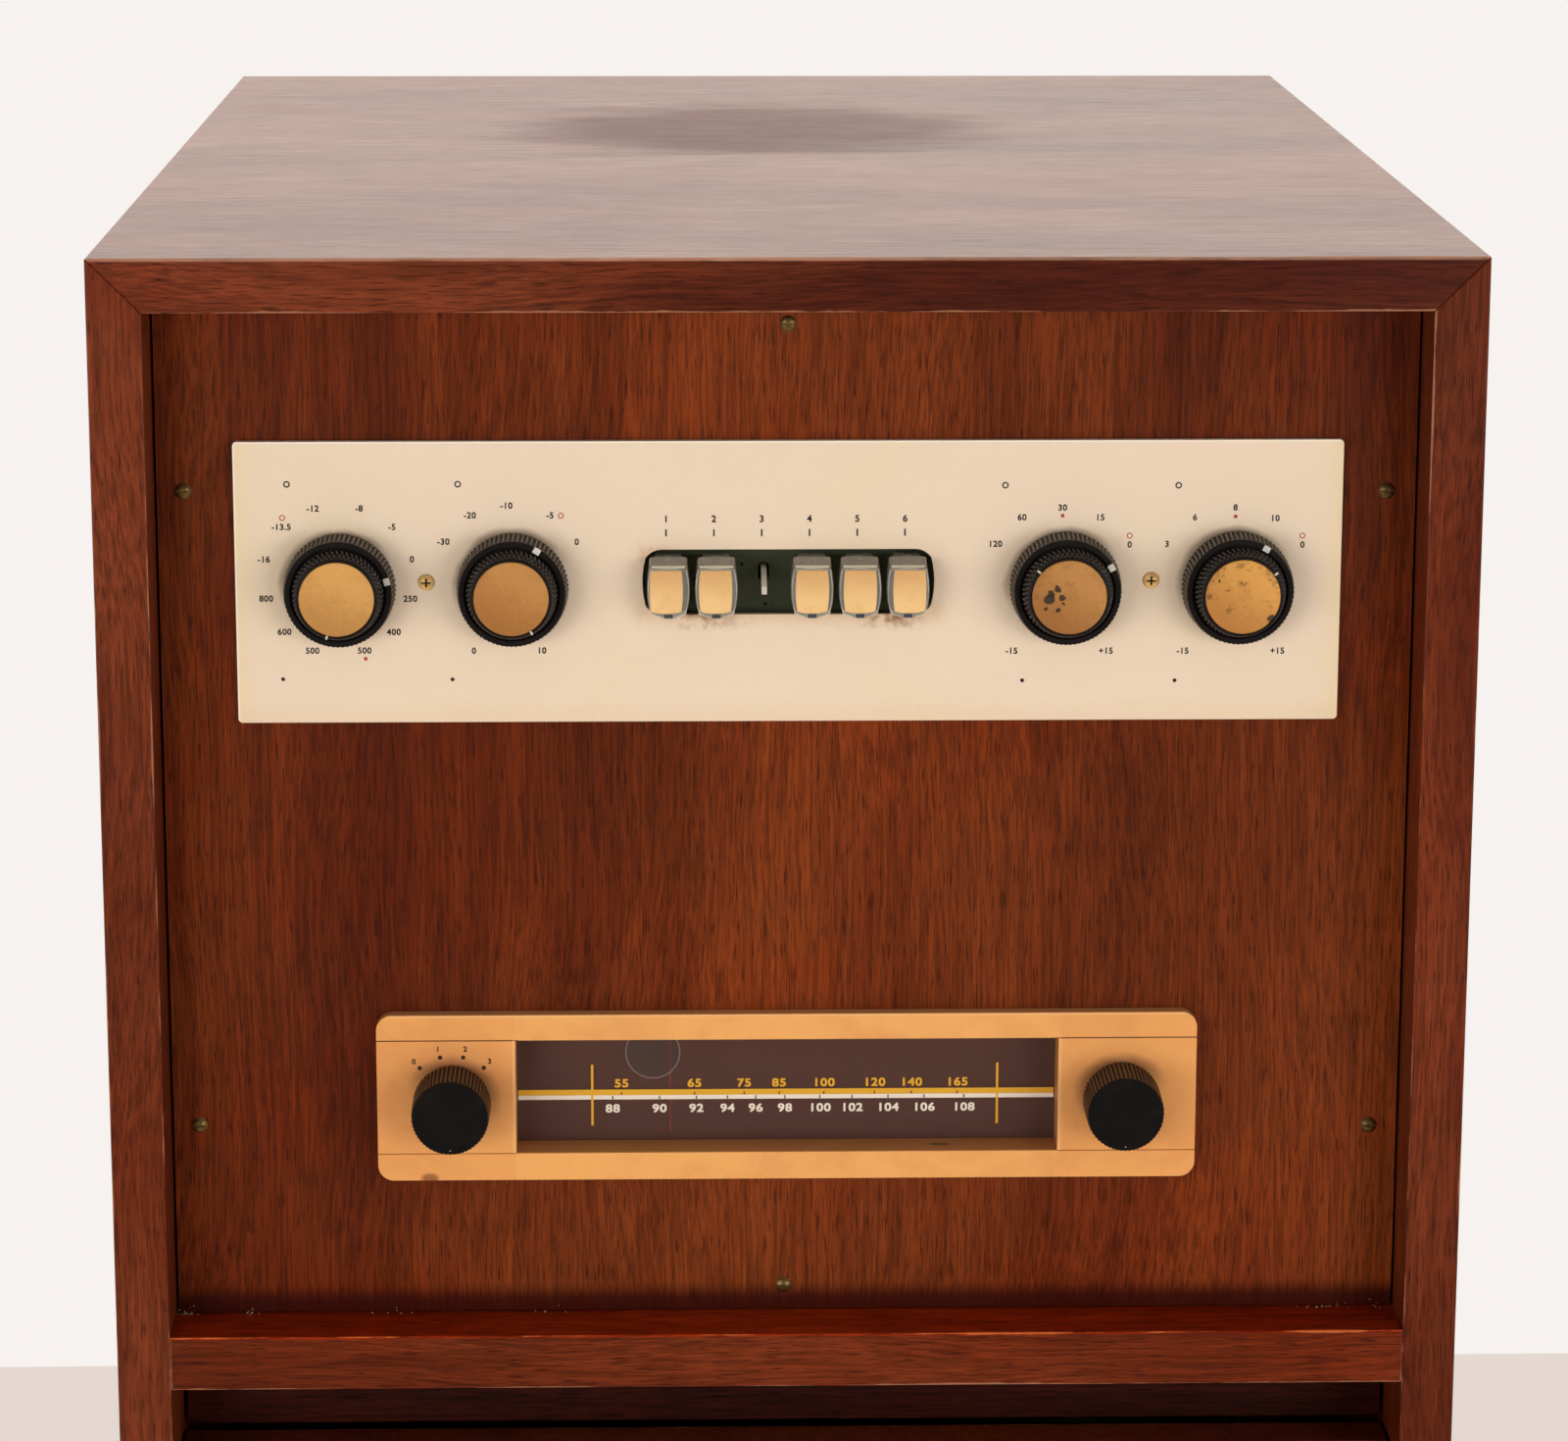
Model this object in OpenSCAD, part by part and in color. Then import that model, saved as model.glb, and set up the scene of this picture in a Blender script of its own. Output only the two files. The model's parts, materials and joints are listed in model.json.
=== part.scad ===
// Radio phonograph console: a walnut case with an audio control unit and a
// radio tuner on its upper panel, and a record changer in a drawer below.
// Millimetres. X to the right, the front faces -Y, Z up.
// The origin is the middle of the case at floor level.

/* [Case] */
// Outside width of the case
case_w = 508; // [504:1:530]
// Depth of the case, front to back
case_d = 660; // [650:1:700]
// Height of the console above the floor
case_h = 762; // [760:1:790]
// Thickness of the case boards
board_t = 20; // [19:0.5:21]
// Thickness of the shelf between the equipment bay and the drawer bay
shelf_t = 21; // [19:0.5:22]
// Height of the top face of the shelf
shelf_top = 351.5; // [350:0.5:353]
// Height of the plinth
plinth_h = 64; // [60:1:66]
// Setback of the plinth from the case's sides and front
plinth_setback = 28; // [15:1:40]

/* [Control panel] */
// Depth of the recess in front of the control panel
recess = 27; // [27:0.5:29]
// Thickness of the control panel
panel_t = 12; // [10:0.5:12]
// Radius of a wood screw's head
wood_screw_head_r = 3.1; // [2.8:0.1:3.6]

/* [Audio control unit] */
// Width of the enamelled faceplate
plate_w = 410.2; // [408:0.2:414]
// Height of the enamelled faceplate
plate_h = 106; // [104:1:110]
// Distance from the top of the case down to the middle of the faceplate
plate_drop = 124.2; // [120:0.2:128]
// Distance from the middle of the faceplate to the inner pair of knobs
inner_knob_x = 102.5; // [100:0.5:104]
// Distance from the middle of the faceplate to the outer pair of knobs
outer_knob_x = 166.4; // [164:0.2:168]
// Radius of the ring knobs at the faceplate
ring_r = 20.9; // [20:0.1:22]
// Radius of the inner knobs where they leave the rings
knob_r = 16.9; // [16.5:0.1:17.1]
// Distance that the knobs stand out of the faceplate
knob_out = 22; // [20:0.5:23]
// Distance between two keys
key_pitch = 17.7; // [17.4:0.1:17.8]
// Width of a key cap
cap_w = 15.7; // [14:0.1:16]
// Angle that a key swings down when it is pressed
key_swing = 3.5; // [2:0.5:3.5]

/* [Radio tuner] */
// Width of the copper-coloured escutcheon
escutcheon_w = 310.8; // [308:0.2:316]
// Height of the escutcheon
escutcheon_h = 65.2; // [65:0.2:67]
// Distance from the top face of the shelf up to the middle of the escutcheon
escutcheon_rise = 87.5; // [86:0.5:89]
// Width of the dial window
window_w = 205.8; // [200:0.2:207]
// Height of the dial window
window_h = 44.7; // [43:0.1:45]
// Distance from the middle of the escutcheon to a tuner knob
tuner_knob_x = 127; // [126:0.5:129]
// Radius of the tuner knobs
tuner_knob_r = 14.9; // [13.5:0.1:15.5]
// Radius of the drum that the dial cord runs on
drum_r = 47.75; // [44:0.25:48]

/* [Changer drawer] */
// Gap between the underside of the shelf and the top of the drawer front
finger_gap = 32.2; // [30:0.2:36]
// Setback of the drawer front from the front of the case
drawer_setback = 21; // [20:1:22]
// Thickness of the drawer front
drawer_front_t = 20; // [18:1:20]
// Length of the drawer box behind its front
drawer_len = 539; // [520:1:545]
// Height of the drawer's sides
drawer_side_h = 130; // [110:1:135]

/* [Record changer] */
// Radius of the platter
platter_r = 127; // [120:1:128]
// Height of the platter's rim
platter_h = 19.5; // [18:0.5:20]
// Height of the record spindle above the platter
spindle_rise = 79; // [40:1:82]
// Length of the tonearm from its pivot to its tip
arm_len = 235; // [230:1:238]

/* [Hidden] */
$fn = 96;
walnut = "#6b2a17";
walnut_dark = "#4a1d10";
ply = "#a97c50";
steel = "#9a9c9c";
brass = "#b98a3c";
black_plastic = "#2a2320";
cream = "#ead6b4";
copper = "#d8904a";
glass_dark = "#43302e";
clear_plastic = "#cfc9b8";
hardboard = "#5b4030";

half_w = case_w / 2;
half_d = case_d / 2;
inner_w = half_w - board_t;
front_y = -half_d;
back_y = half_d;
shelf_under = shelf_top - shelf_t;
bay_floor = plinth_h + board_t;
bay_ceiling = case_h - board_t;

// Front panel and what stands on it
panel_y = front_y + recess;
panel_back_y = panel_y + panel_t;
panel_gap = 1;
cleat = 18;
screw_r = 1.7;
screw_hole_r = 1.8;
screw_len = 26;
screw_dome = 1.3;
panel_screw_xz = [
    [0, bay_ceiling - 8],
    [-223.4, bay_ceiling - 70], [222.4, bay_ceiling - 71],
    [-223.4, shelf_top + 75.5], [222.6, shelf_top + 73],
    [-1.2, shelf_top + 10]
];
back_panel_t = 4;
back_setback = 14;
back_panel_y = back_y - back_setback;
shelf_back_y = back_panel_y - 16;
back_screw_x = 225;
back_screw_z = [bay_floor + 24, shelf_top - 50, shelf_top + 170, bay_ceiling - 24];
cable_hole_r = 10;
cable_hole_xz = [150, bay_floor + 46];
vent_w = 60;
vent_h = 8;

// Audio control unit
plate_x = 0.5;
plate_z = case_h - plate_drop;
plate_t = 3;
plate_corner_r = 1.6;
plate_front_y = panel_y - plate_t;
control_z = plate_z - 1.8;
plate_screw_x = 134.5;
plate_screw_z = plate_z + 0.2;
plate_screw_r = 2;
plate_screw_hole_r = 2.1;
key_window = [108.4, 24.6];
key_window_x = 0.2;
key_window_r = 7.2;
key_window_bow_r = 35;
keys_mid_x = -0.1;
key_count = 6;
bare_key = 2;
sub_y = panel_y + 4;
sub_t = 1.5;
unit_w = 380;
unit_h = 84;
unit_back_y = sub_y + 180;
sheet_t = 1.5;
control_body_r = 14;
control_body_len = 32;
bush_r = 5;
tube_r = 4;
tube_bore_r = 3.05;
shaft_r = 3;
fit = 0.05;
ring_front = 13;
disc_r = 14.3;
disc_t = 0.8;
ring_front_r = ring_r - 0.85;
knob_front_r = knob_r - 0.8;
knob_chamfer = 0.9;
pivot_y = sub_y + 37;
pivot_z = plate_z + 2.2;
pivot_r = 2;
blade_t = 2;
slot_w = 4.2;
slot_h = 7.2;

// Tuner
dial_x = 0;
tuner_z = shelf_top + escutcheon_rise;
escutcheon_t = 6;
escutcheon_corner_r = 6;
escutcheon_y = panel_y - escutcheon_t;
window_z = tuner_z + 0.35;
tunnel_t = 1.5;
tunnel_end_y = panel_y + 9.5;
glass_y = tunnel_end_y + 0.2;
glass_t = 2.5;
tuner_shaft_z = tuner_z - 1.4;
tuner_knob_out = 20.6;
pointer_x = -44.4;
rail_y = glass_y + glass_t + 6.6;
rail_z = tuner_z + 32;
rail_r = 1.2;
tuner_plate_y = rail_y + 5.2;
gang_x = 20;
gang_z = tuner_shaft_z;
drum_y = tuner_plate_y + sheet_t + 1;
drum_t = 5;
gang_y = drum_y + drum_t + 3.5;
gang_len = 72;
gang_half_w = 25;
gang_plates = 7;
gang_pitch = 8;
gang_closed_angle = 32.76;
rotor_r = 20;
tuner_base_z = gang_z - 52;
tuner_back_y = tuner_plate_y + 159;
tuner_half_w = 150;
eye_xz = [-51, tuner_z + 13];
eye_r = 10.3;

// Drawer
drawer_front_y = front_y + drawer_setback;
drawer_box_y = drawer_front_y + drawer_front_t;
drawer_back_y = drawer_box_y + drawer_len;
drawer_top = shelf_under - finger_gap;
drawer_gap = 1;
drawer_side_t = 12;
slide_space = 13;
box_x = inner_w - slide_space;
box_z = bay_floor + 8;
apron_y = drawer_box_y + 1;
apron_t = 12;
slide_z = box_z + 68;
slide_half = 15;
slide_wall = 1.5;
slide_play = 0.6;
motor_board_z = box_z + 66;
motor_board_t = 12;

// Record changer
deck_z = motor_board_z + motor_board_t;
deck_rise = 14;
deck_top = deck_z + deck_rise;
deck_t = 2;
deck_x = 178;
deck_front_y = drawer_box_y + 27;
deck_back_y = deck_front_y + 320;
platter_mid = [-35, deck_front_y + 167];
platter_z = deck_top + 2.5;
platter_top = platter_z + platter_h;
platter_wall = 5;
platter_skin = 4;
spindle_r = 3.6;
sleeve_r = 4;
idler_r = 20;
idler_play = 0.1;
idler_reach = platter_r - platter_wall - idler_r - idler_play;
idler_angle = -60;
idler_mid = platter_mid + idler_reach * [cos(idler_angle), sin(idler_angle)];
pulley_r = 6;
pulley_angle = 210;
pulley_mid = idler_mid + (idler_r + pulley_r + idler_play) * [cos(pulley_angle), sin(pulley_angle)];
motor_r = 38;
motor_len = 60;
arm_mid = [140, deck_front_y + 282];
arm_z = deck_top + 36;
arm_tube_r = 4;
lever_mid = [150, deck_front_y + 27];

// ---------------------------------------------------------------- helpers

// A block between two opposite corners
module block(low, high) {
    translate(low) cube(high - low);
}

// A round bar along Y between two depths
module rod_y(r, y0, y1) {
    translate([0, y1, 0]) rotate([90, 0, 0]) cylinder(r = r, h = y1 - y0);
}

// A round bar along X between two places
module rod_x(r, x0, x1) {
    translate([x0, 0, 0]) rotate([0, 90, 0]) cylinder(r = r, h = x1 - x0);
}

// A round bar along Z between two heights
module rod_z(r, z0, z1) {
    translate([0, 0, z0]) cylinder(r = r, h = z1 - z0);
}

// A rectangle with round corners, centred
module round_rect(w, h, r) {
    square([w - 2 * r, h], center = true);
    square([w, h - 2 * r], center = true);
    for (sx = [-1, 1], sz = [-1, 1])
        translate([sx * (w / 2 - r), sz * (h / 2 - r)]) circle(r = r);
}

// A plate in the XZ plane with round corners, from y0 back to y1
module round_plate(w, h, r, y0, y1) {
    translate([0, y1, 0]) rotate([90, 0, 0]) linear_extrude(y1 - y0) round_rect(w, h, r);
}

// An outline of [radius, distance forward] points turned about the Y axis
module turned_y(points) {
    rotate([90, 0, 0]) rotate_extrude() polygon(points);
}

// An XZ outline drawn out over the whole depth of the case
module depth_prism(points) {
    translate([0, back_y, 0]) rotate([90, 0, 0]) linear_extrude(case_d) polygon(points);
}

// A YZ outline drawn out along X, centred on X
module side_prism(points, w) {
    translate([-w / 2, 0, 0]) rotate([90, 0, 90]) linear_extrude(w) polygon(points);
}

// ------------------------------------------------------------------- case

module case_top() {
    color(walnut) depth_prism([
        [-half_w, case_h], [half_w, case_h],
        [inner_w, bay_ceiling], [-inner_w, bay_ceiling]
    ]);
}

module case_side(side) {
    color(walnut) depth_prism([
        [side * half_w, case_h], [side * inner_w, bay_ceiling],
        [side * inner_w, bay_floor], [side * half_w, plinth_h]
    ]);
}

module case_bottom() {
    color(walnut) depth_prism([
        [-half_w, plinth_h], [half_w, plinth_h],
        [inner_w, bay_floor], [-inner_w, bay_floor]
    ]);
}

// Four boards on edge under the case: two long ones and two between them
module plinth() {
    x = half_w - plinth_setback;
    y0 = front_y + plinth_setback;
    y1 = back_y - plinth_setback / 2;
    color(walnut_dark) {
        block([-x, y0, 0], [x, y0 + board_t, plinth_h]);
        block([-x, y1 - board_t, 0], [x, y1, plinth_h]);
        for (side = [0, 1]) mirror([side, 0, 0])
            block([x - board_t, y0 + board_t, 0], [x, y1 - board_t, plinth_h]);
    }
}

// The shelf stops short of the back panel, which leaves a way for the leads
module mid_shelf() {
    color(walnut) block([-inner_w, front_y, shelf_under], [inner_w, shelf_back_y, shelf_top]);
}

module drawer_apron() {
    color(walnut_dark) block(
        [-inner_w + 1.5, apron_y, drawer_top + 2.3],
        [inner_w - 1.5, apron_y + apron_t, shelf_under]
    );
}

// Holes for the screws of both panels
module screw_holes() {
    for (p = panel_screw_xz) translate([p[0], 0, p[1]])
        rod_y(screw_hole_r, panel_y - 1, panel_y + screw_len);
    for (sx = [-1, 1], z = back_screw_z) translate([sx * back_screw_x, 0, z])
        rod_y(screw_hole_r, back_panel_y - 14, back_y);
}

// Battens that the two panels are screwed to
module panel_cleats() {
    cleat_x = inner_w - cleat;
    color(ply) difference() {
        union() {
            for (side = [0, 1]) mirror([side, 0, 0]) {
                block([cleat_x, panel_back_y, shelf_top], [inner_w, panel_back_y + cleat, bay_ceiling]);
                block([cleat_x, shelf_back_y, bay_floor], [inner_w, back_panel_y, bay_ceiling]);
            }
            for (z = [shelf_top, bay_ceiling - cleat])
                block([1 - cleat_x, panel_back_y, z], [cleat_x - 1, panel_back_y + cleat, z + cleat]);
        }
        screw_holes();
    }
}

// Veneered board with an opening for each unit
module control_panel() {
    x = inner_w - panel_gap;
    color(walnut) difference() {
        block([-x, panel_y, shelf_top + 0.5], [x, panel_back_y, bay_ceiling - 0.5]);
        block([plate_x - 192, panel_y - 1, plate_z - 44], [plate_x + 192, panel_back_y + 1, plate_z + 44]);
        block([-149, panel_y - 1, tuner_z - 28], [149, panel_back_y + 1, tuner_z + 28]);
        screw_holes();
    }
}

module back_panel() {
    x = inner_w - panel_gap;
    color(hardboard) difference() {
        block([-x, back_panel_y, bay_floor + 1], [x, back_panel_y + back_panel_t, bay_ceiling - 1]);
        for (col = [-2 : 2], row = [0 : 2], z = [shelf_top + 60, bay_ceiling - 90])
            translate([col * 80, 0, z + row * 18])
                block([-vent_w / 2, back_panel_y - 1, 0], [vent_w / 2, back_y, vent_h]);
        translate([cable_hole_xz[0], 0, cable_hole_xz[1]]) rod_y(cable_hole_r, back_panel_y - 1, back_y);
        screw_holes();
    }
}

// A slotted screw with an oval head; its head stands forward of y = 0
module wood_screw(length) {
    difference() {
        union() {
            turned_y([
                [0, 0], [wood_screw_head_r, 0], [wood_screw_head_r - 0.9, 0.9],
                [1, screw_dome], [0, screw_dome]
            ]);
            rod_y(screw_r, 0, length);
        }
        block([-5, -3, -0.4], [5, -0.6, 0.4]);
    }
}

module wood_screws() {
    color(brass) {
        for (p = panel_screw_xz) translate([p[0], panel_y, p[1]]) wood_screw(screw_len - 1);
        for (sx = [-1, 1], z = back_screw_z) translate([sx * back_screw_x, back_panel_y + back_panel_t, z])
            mirror([0, 1, 0]) wood_screw(16);
    }
}

// ------------------------------------------------------ audio control unit

// Places of the four double controls along the faceplate
control_x = [
    plate_x - outer_knob_x, plate_x - inner_knob_x,
    plate_x + inner_knob_x, plate_x + outer_knob_x
];

// Outline of the opening for the keys: a rectangle with round corners and bowed ends
module key_window_outline() {
    bow_x = key_window[0] / 2 - key_window_bow_r;
    intersection() {
        round_rect(key_window[0], key_window[1], key_window_r);
        union() {
            for (side = [-1, 1]) translate([side * bow_x, 0]) circle(r = key_window_bow_r);
            square([2 * bow_x, key_window[1]], center = true);
        }
    }
}

module preamp_faceplate() {
    color(cream) difference() {
        translate([plate_x, 0, plate_z])
            round_plate(plate_w, plate_h, plate_corner_r, plate_front_y, panel_y);
        translate([key_window_x, panel_y + 1, plate_z]) rotate([90, 0, 0])
            linear_extrude(plate_t + 2) key_window_outline();
        for (x = control_x) translate([x, 0, control_z])
            rod_y(bush_r + 0.1, plate_front_y - 1, panel_y + 1);
        for (sx = [-1, 1]) translate([plate_x + sx * plate_screw_x, 0, plate_screw_z])
            rod_y(plate_screw_hole_r, plate_front_y - 1, panel_y + 1);
    }
}

// Two oval-headed machine screws with a cross recess
module faceplate_screws() {
    color(brass) for (sx = [-1, 1]) translate([plate_x + sx * plate_screw_x, plate_front_y, plate_screw_z])
        difference() {
            union() {
                turned_y([[0, 0], [3.1, 0], [2.8, 0.8], [1.6, 1.5], [0, 1.7]]);
                rod_y(plate_screw_r, 0, sub_y + sub_t + 4 - plate_front_y);
            }
            block([-1.7, -3, -0.35], [1.7, -0.7, 0.35]);
            block([-0.35, -3, -1.7], [0.35, -0.7, 1.7]);
        }
}

function key_x(i) = keys_mid_x + (i - (key_count - 1) / 2) * key_pitch;

// Front wall of the unit, with the bushes' holes and a slot for each lever
module preamp_subpanel() {
    color("#26332d") difference() {
        translate([plate_x, 0, plate_z])
            block([-unit_w / 2, sub_y, -unit_h / 2], [unit_w / 2, sub_y + sub_t, unit_h / 2]);
        for (x = control_x) translate([x, 0, control_z])
            rod_y(bush_r + fit, sub_y - 1, sub_y + sub_t + 1);
        for (i = [0 : key_count - 1]) translate([key_x(i), 0, pivot_z + 0.4])
            round_plate(slot_w, slot_h, slot_w / 2 - 0.01, sub_y - 1, sub_y + sub_t + 1);
        for (sx = [-1, 1]) translate([plate_x + sx * plate_screw_x, 0, plate_screw_z])
            rod_y(plate_screw_hole_r, sub_y - 1, sub_y + sub_t + 1);
    }
}

// Open-topped tray behind the front wall, with the rod that the keys turn on
module preamp_chassis() {
    x0 = plate_x - unit_w / 2;
    x1 = plate_x + unit_w / 2;
    y0 = sub_y + sub_t;
    z0 = plate_z - unit_h / 2;
    z1 = plate_z + unit_h / 2;
    rod_x0 = key_x(0) - 13;
    rod_x1 = key_x(key_count - 1) + 13;
    color(steel) {
        block([x0, y0, z0], [x1, unit_back_y, z0 + sheet_t]);
        block([x0, y0, z0], [x0 + sheet_t, unit_back_y, z1]);
        block([x1 - sheet_t, y0, z0], [x1, unit_back_y, z1]);
        block([x0, unit_back_y - sheet_t, z0], [x1, unit_back_y, z1]);
        translate([0, pivot_y, pivot_z]) rod_x(pivot_r, rod_x0, rod_x1);
        for (x = [rod_x0, rod_x1 - 2])
            block([x, pivot_y - 6, z0], [x + 2, pivot_y + 6, pivot_z + 6]);
    }
}

// Two controls on one axis in each body, with a bush for the outer shaft
module dual_controls() {
    y0 = sub_y + sub_t;
    color(steel) for (x = control_x) translate([x, 0, control_z]) difference() {
        union() {
            rod_y(control_body_r, y0, y0 + control_body_len);
            rod_y(bush_r, plate_front_y + 0.4, y0 + 1);
        }
        rod_y(tube_r + fit, plate_front_y - 1, y0 + control_body_len + 1);
    }
}

// The outer knob of a pair, on its tube; the mark stands at angle, clockwise from the top
module ring_knob(x, angle) {
    back = plate_front_y - sub_y - sub_t - control_body_len + 4;
    color(black_plastic) translate([x, plate_front_y, control_z]) rotate([0, angle, 0]) {
        turned_y([
            [tube_bore_r, back], [tube_r, back], [tube_r, 4], [ring_r - 3.4, 4],
            [ring_r - 3.4, 0.8], [ring_r, 0.8], [ring_front_r, ring_front], [tube_bore_r, ring_front]
        ]);
        block([-1.35, -ring_front - 0.2, knob_r + 0.5], [1.35, -ring_front + 1, ring_front_r - 0.2]);
    }
}

// The inner knob of a pair, on its shaft; the mark stands at angle, clockwise from the top
module inner_knob(x, angle) {
    back = plate_front_y - sub_y - sub_t - control_body_len;
    front = knob_out - disc_t;
    color(black_plastic) translate([x, plate_front_y, control_z]) rotate([0, angle, 0]) difference() {
        turned_y([
            [0, back], [shaft_r, back], [shaft_r, ring_front + 0.4], [knob_r, ring_front + 0.4],
            [knob_front_r, front - knob_chamfer], [disc_r + 0.5, front], [disc_r, front],
            [disc_r, knob_out], [0, knob_out]
        ]);
        block([-0.5, -front - 0.1, disc_r + 0.1], [0.5, -front + knob_chamfer + 0.3, knob_front_r + 1]);
    }
}

// Lever of one key: a hub on the rod and a flat blade that dips behind the cap
module key_lever(i) {
    tip_y = sub_y - 17;
    color(steel) translate([key_x(i), 0, 0]) difference() {
        union() {
            translate([0, pivot_y, pivot_z]) rod_x(4.5, -4, 4);
            side_prism([
                [pivot_y, pivot_z - 2], [sub_y + 3, pivot_z - 0.2], [sub_y - 3, pivot_z - 0.4],
                [tip_y, pivot_z - 5], [tip_y, pivot_z - 2], [sub_y - 4, pivot_z + 2.6],
                [sub_y + 3, pivot_z + 2.8], [pivot_y, pivot_z + 2]
            ], blade_t);
        }
        translate([0, pivot_y, pivot_z]) rod_x(pivot_r + fit, -5, 5);
    }
}

// Outline of a key cap seen from the front: bowed sides and a bowed foot
module cap_outline() {
    side_r = 35;
    foot_r = 12;
    foot_z = -13.7;
    waist_z = -2.9;
    intersection() {
        translate([side_r - cap_w / 2, waist_z]) circle(r = side_r);
        translate([cap_w / 2 - side_r, waist_z]) circle(r = side_r);
        union() {
            translate([0, foot_z + foot_r]) circle(r = foot_r);
            translate([-cap_w / 2, -8]) square([cap_w, 20]);
        }
    }
}

// Clear cap on the end of a lever: a block before the faceplate and a neck through the window
module key_cap(i) {
    front = sub_y - 19;
    body_back = plate_front_y - 2;
    back = sub_y - 1.8;
    neck_w = 10;
    color(clear_plastic) translate([key_x(i), 0, pivot_z]) difference() {
        union() {
            intersection() {
                translate([0, body_back, 0]) rotate([90, 0, 0])
                    linear_extrude(body_back - front) cap_outline();
                side_prism([
                    [front, -15], [body_back, -15], [body_back, 7.8],
                    [front + 1, 5.6], [front, 4.9]
                ], cap_w + 1);
            }
            block([-neck_w / 2, body_back - 1, -8.5], [neck_w / 2, back, 7.8]);
        }
        side_prism([
            [front + 1.4, -5.4], [back + 1, -0.5],
            [back + 1, 3.9], [front + 1.4, -1.5]
        ], blade_t + 2 * fit);
    }
}

// ------------------------------------------------------------------- tuner

// Cast frame with a tunnel behind its window that hides the dial's edge
module tuner_escutcheon() {
    color(copper) difference() {
        union() {
            translate([dial_x, 0, tuner_z])
                round_plate(escutcheon_w, escutcheon_h, escutcheon_corner_r, escutcheon_y, panel_y);
            block(
                [-window_w / 2 - tunnel_t, panel_y - 1, window_z - window_h / 2 - tunnel_t],
                [window_w / 2 + tunnel_t, tunnel_end_y, window_z + window_h / 2 + tunnel_t]
            );
        }
        block(
            [-window_w / 2, escutcheon_y - 1, window_z - window_h / 2],
            [window_w / 2, tunnel_end_y + 1, window_z + window_h / 2]
        );
        for (sx = [-1, 1]) translate([sx * tuner_knob_x, 0, tuner_shaft_z])
            rod_y(shaft_r + 0.3, escutcheon_y - 1, panel_y + 1);
        // joint lines of the end blocks
        for (side = [0, 1], z = [-1, 1]) mirror([side, 0, 0])
            translate([window_w / 2 - 1, escutcheon_y, window_z + z * window_h / 2])
                block([0, -1, -0.15], [escutcheon_w / 2, 0.5, 0.15]);
    }
}

module dial_glass() {
    color(glass_dark) block(
        [-window_w / 2 - 3, glass_y, window_z - window_h / 2 - 3],
        [window_w / 2 + 3, glass_y + glass_t, window_z + window_h / 2 + 3]
    );
}

// Pointer and the carriage that slides on the rail
module dial_pointer() {
    y0 = glass_y + glass_t + 1.2;
    color("#b03030") translate([pointer_x, 0, 0]) {
        block([-0.4, y0, window_z - window_h / 2 + 2], [0.4, y0 + 0.8, rail_z - 1]);
        block([-2, y0, rail_z - 2.2], [2, rail_y - 2, rail_z - 0.6]);
        difference() {
            block([-6, rail_y - 2.4, rail_z - 2.4], [6, rail_y + 2.4, rail_z + 2.4]);
            translate([0, rail_y, rail_z]) rod_x(rail_r + fit, -7, 7);
        }
    }
}

// Tuner knob on its shaft, which ends at back_y_end
module tuner_knob(x, shaft_end) {
    color(black_plastic) translate([x, escutcheon_y, tuner_shaft_z]) difference() {
        turned_y([
            [0, escutcheon_y - shaft_end], [shaft_r, escutcheon_y - shaft_end], [shaft_r, 0.6],
            [tuner_knob_r, 0.6], [tuner_knob_r - 0.3, tuner_knob_out - 0.6],
            [tuner_knob_r - 0.9, tuner_knob_out], [0, tuner_knob_out]
        ]);
        rotate([0, -45, 0]) translate([0, -tuner_knob_out, tuner_knob_r])
            block([-0.5, -1, -3], [0.5, 0.3, 1]);
    }
}

// Fixed half of the tuning capacitor: a bent frame with its row of plates
module gang_frame() {
    y1 = gang_y + gang_len;
    color(steel) translate([gang_x, 0, gang_z]) {
        difference() {
            union() {
                block([-gang_half_w, gang_y, -28], [gang_half_w, y1, -26]);
                for (y = [gang_y, y1 - 2]) block([-gang_half_w, y, -28], [gang_half_w, y + 2, 26]);
            }
            rod_y(shaft_r + fit, gang_y - 1, y1 + 1);
        }
        for (k = [0 : gang_plates]) translate([0, gang_y + 6 + k * gang_pitch, 0])
            block([4.6, 0, -22], [gang_half_w - 1, 1, 22]);
        for (z = [-21.5, 20]) block([gang_half_w - 2.5, gang_y, z], [gang_half_w - 1, y1, z + 1.5]);
    }
}

// Turning half of the capacitor with the dial cord drum on its shaft
module gang_rotor() {
    color(steel) translate([gang_x, 0, gang_z]) rotate([0, gang_closed_angle, 0]) {
        rod_y(shaft_r, drum_y, gang_y + gang_len + 4);
        difference() {
            rod_y(drum_r, drum_y, drum_y + drum_t);
            rotate([-90, 0, 0]) translate([0, 0, drum_y + drum_t / 2]) rotate_extrude()
                translate([drum_r, 0]) circle(r = 1.5);
            for (a = [45, 135, 225, 315]) rotate([0, a, 0]) translate([0, 0, 26])
                rod_y(12, drum_y - 1, drum_y + drum_t + 1);
        }
        for (k = [0 : gang_plates - 1]) translate([0, gang_y + 10 + k * gang_pitch, 0]) intersection() {
            rod_y(rotor_r, 0, 1);
            block([0, -1, -rotor_r], [rotor_r + 1, 2, rotor_r]);
        }
    }
}

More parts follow.
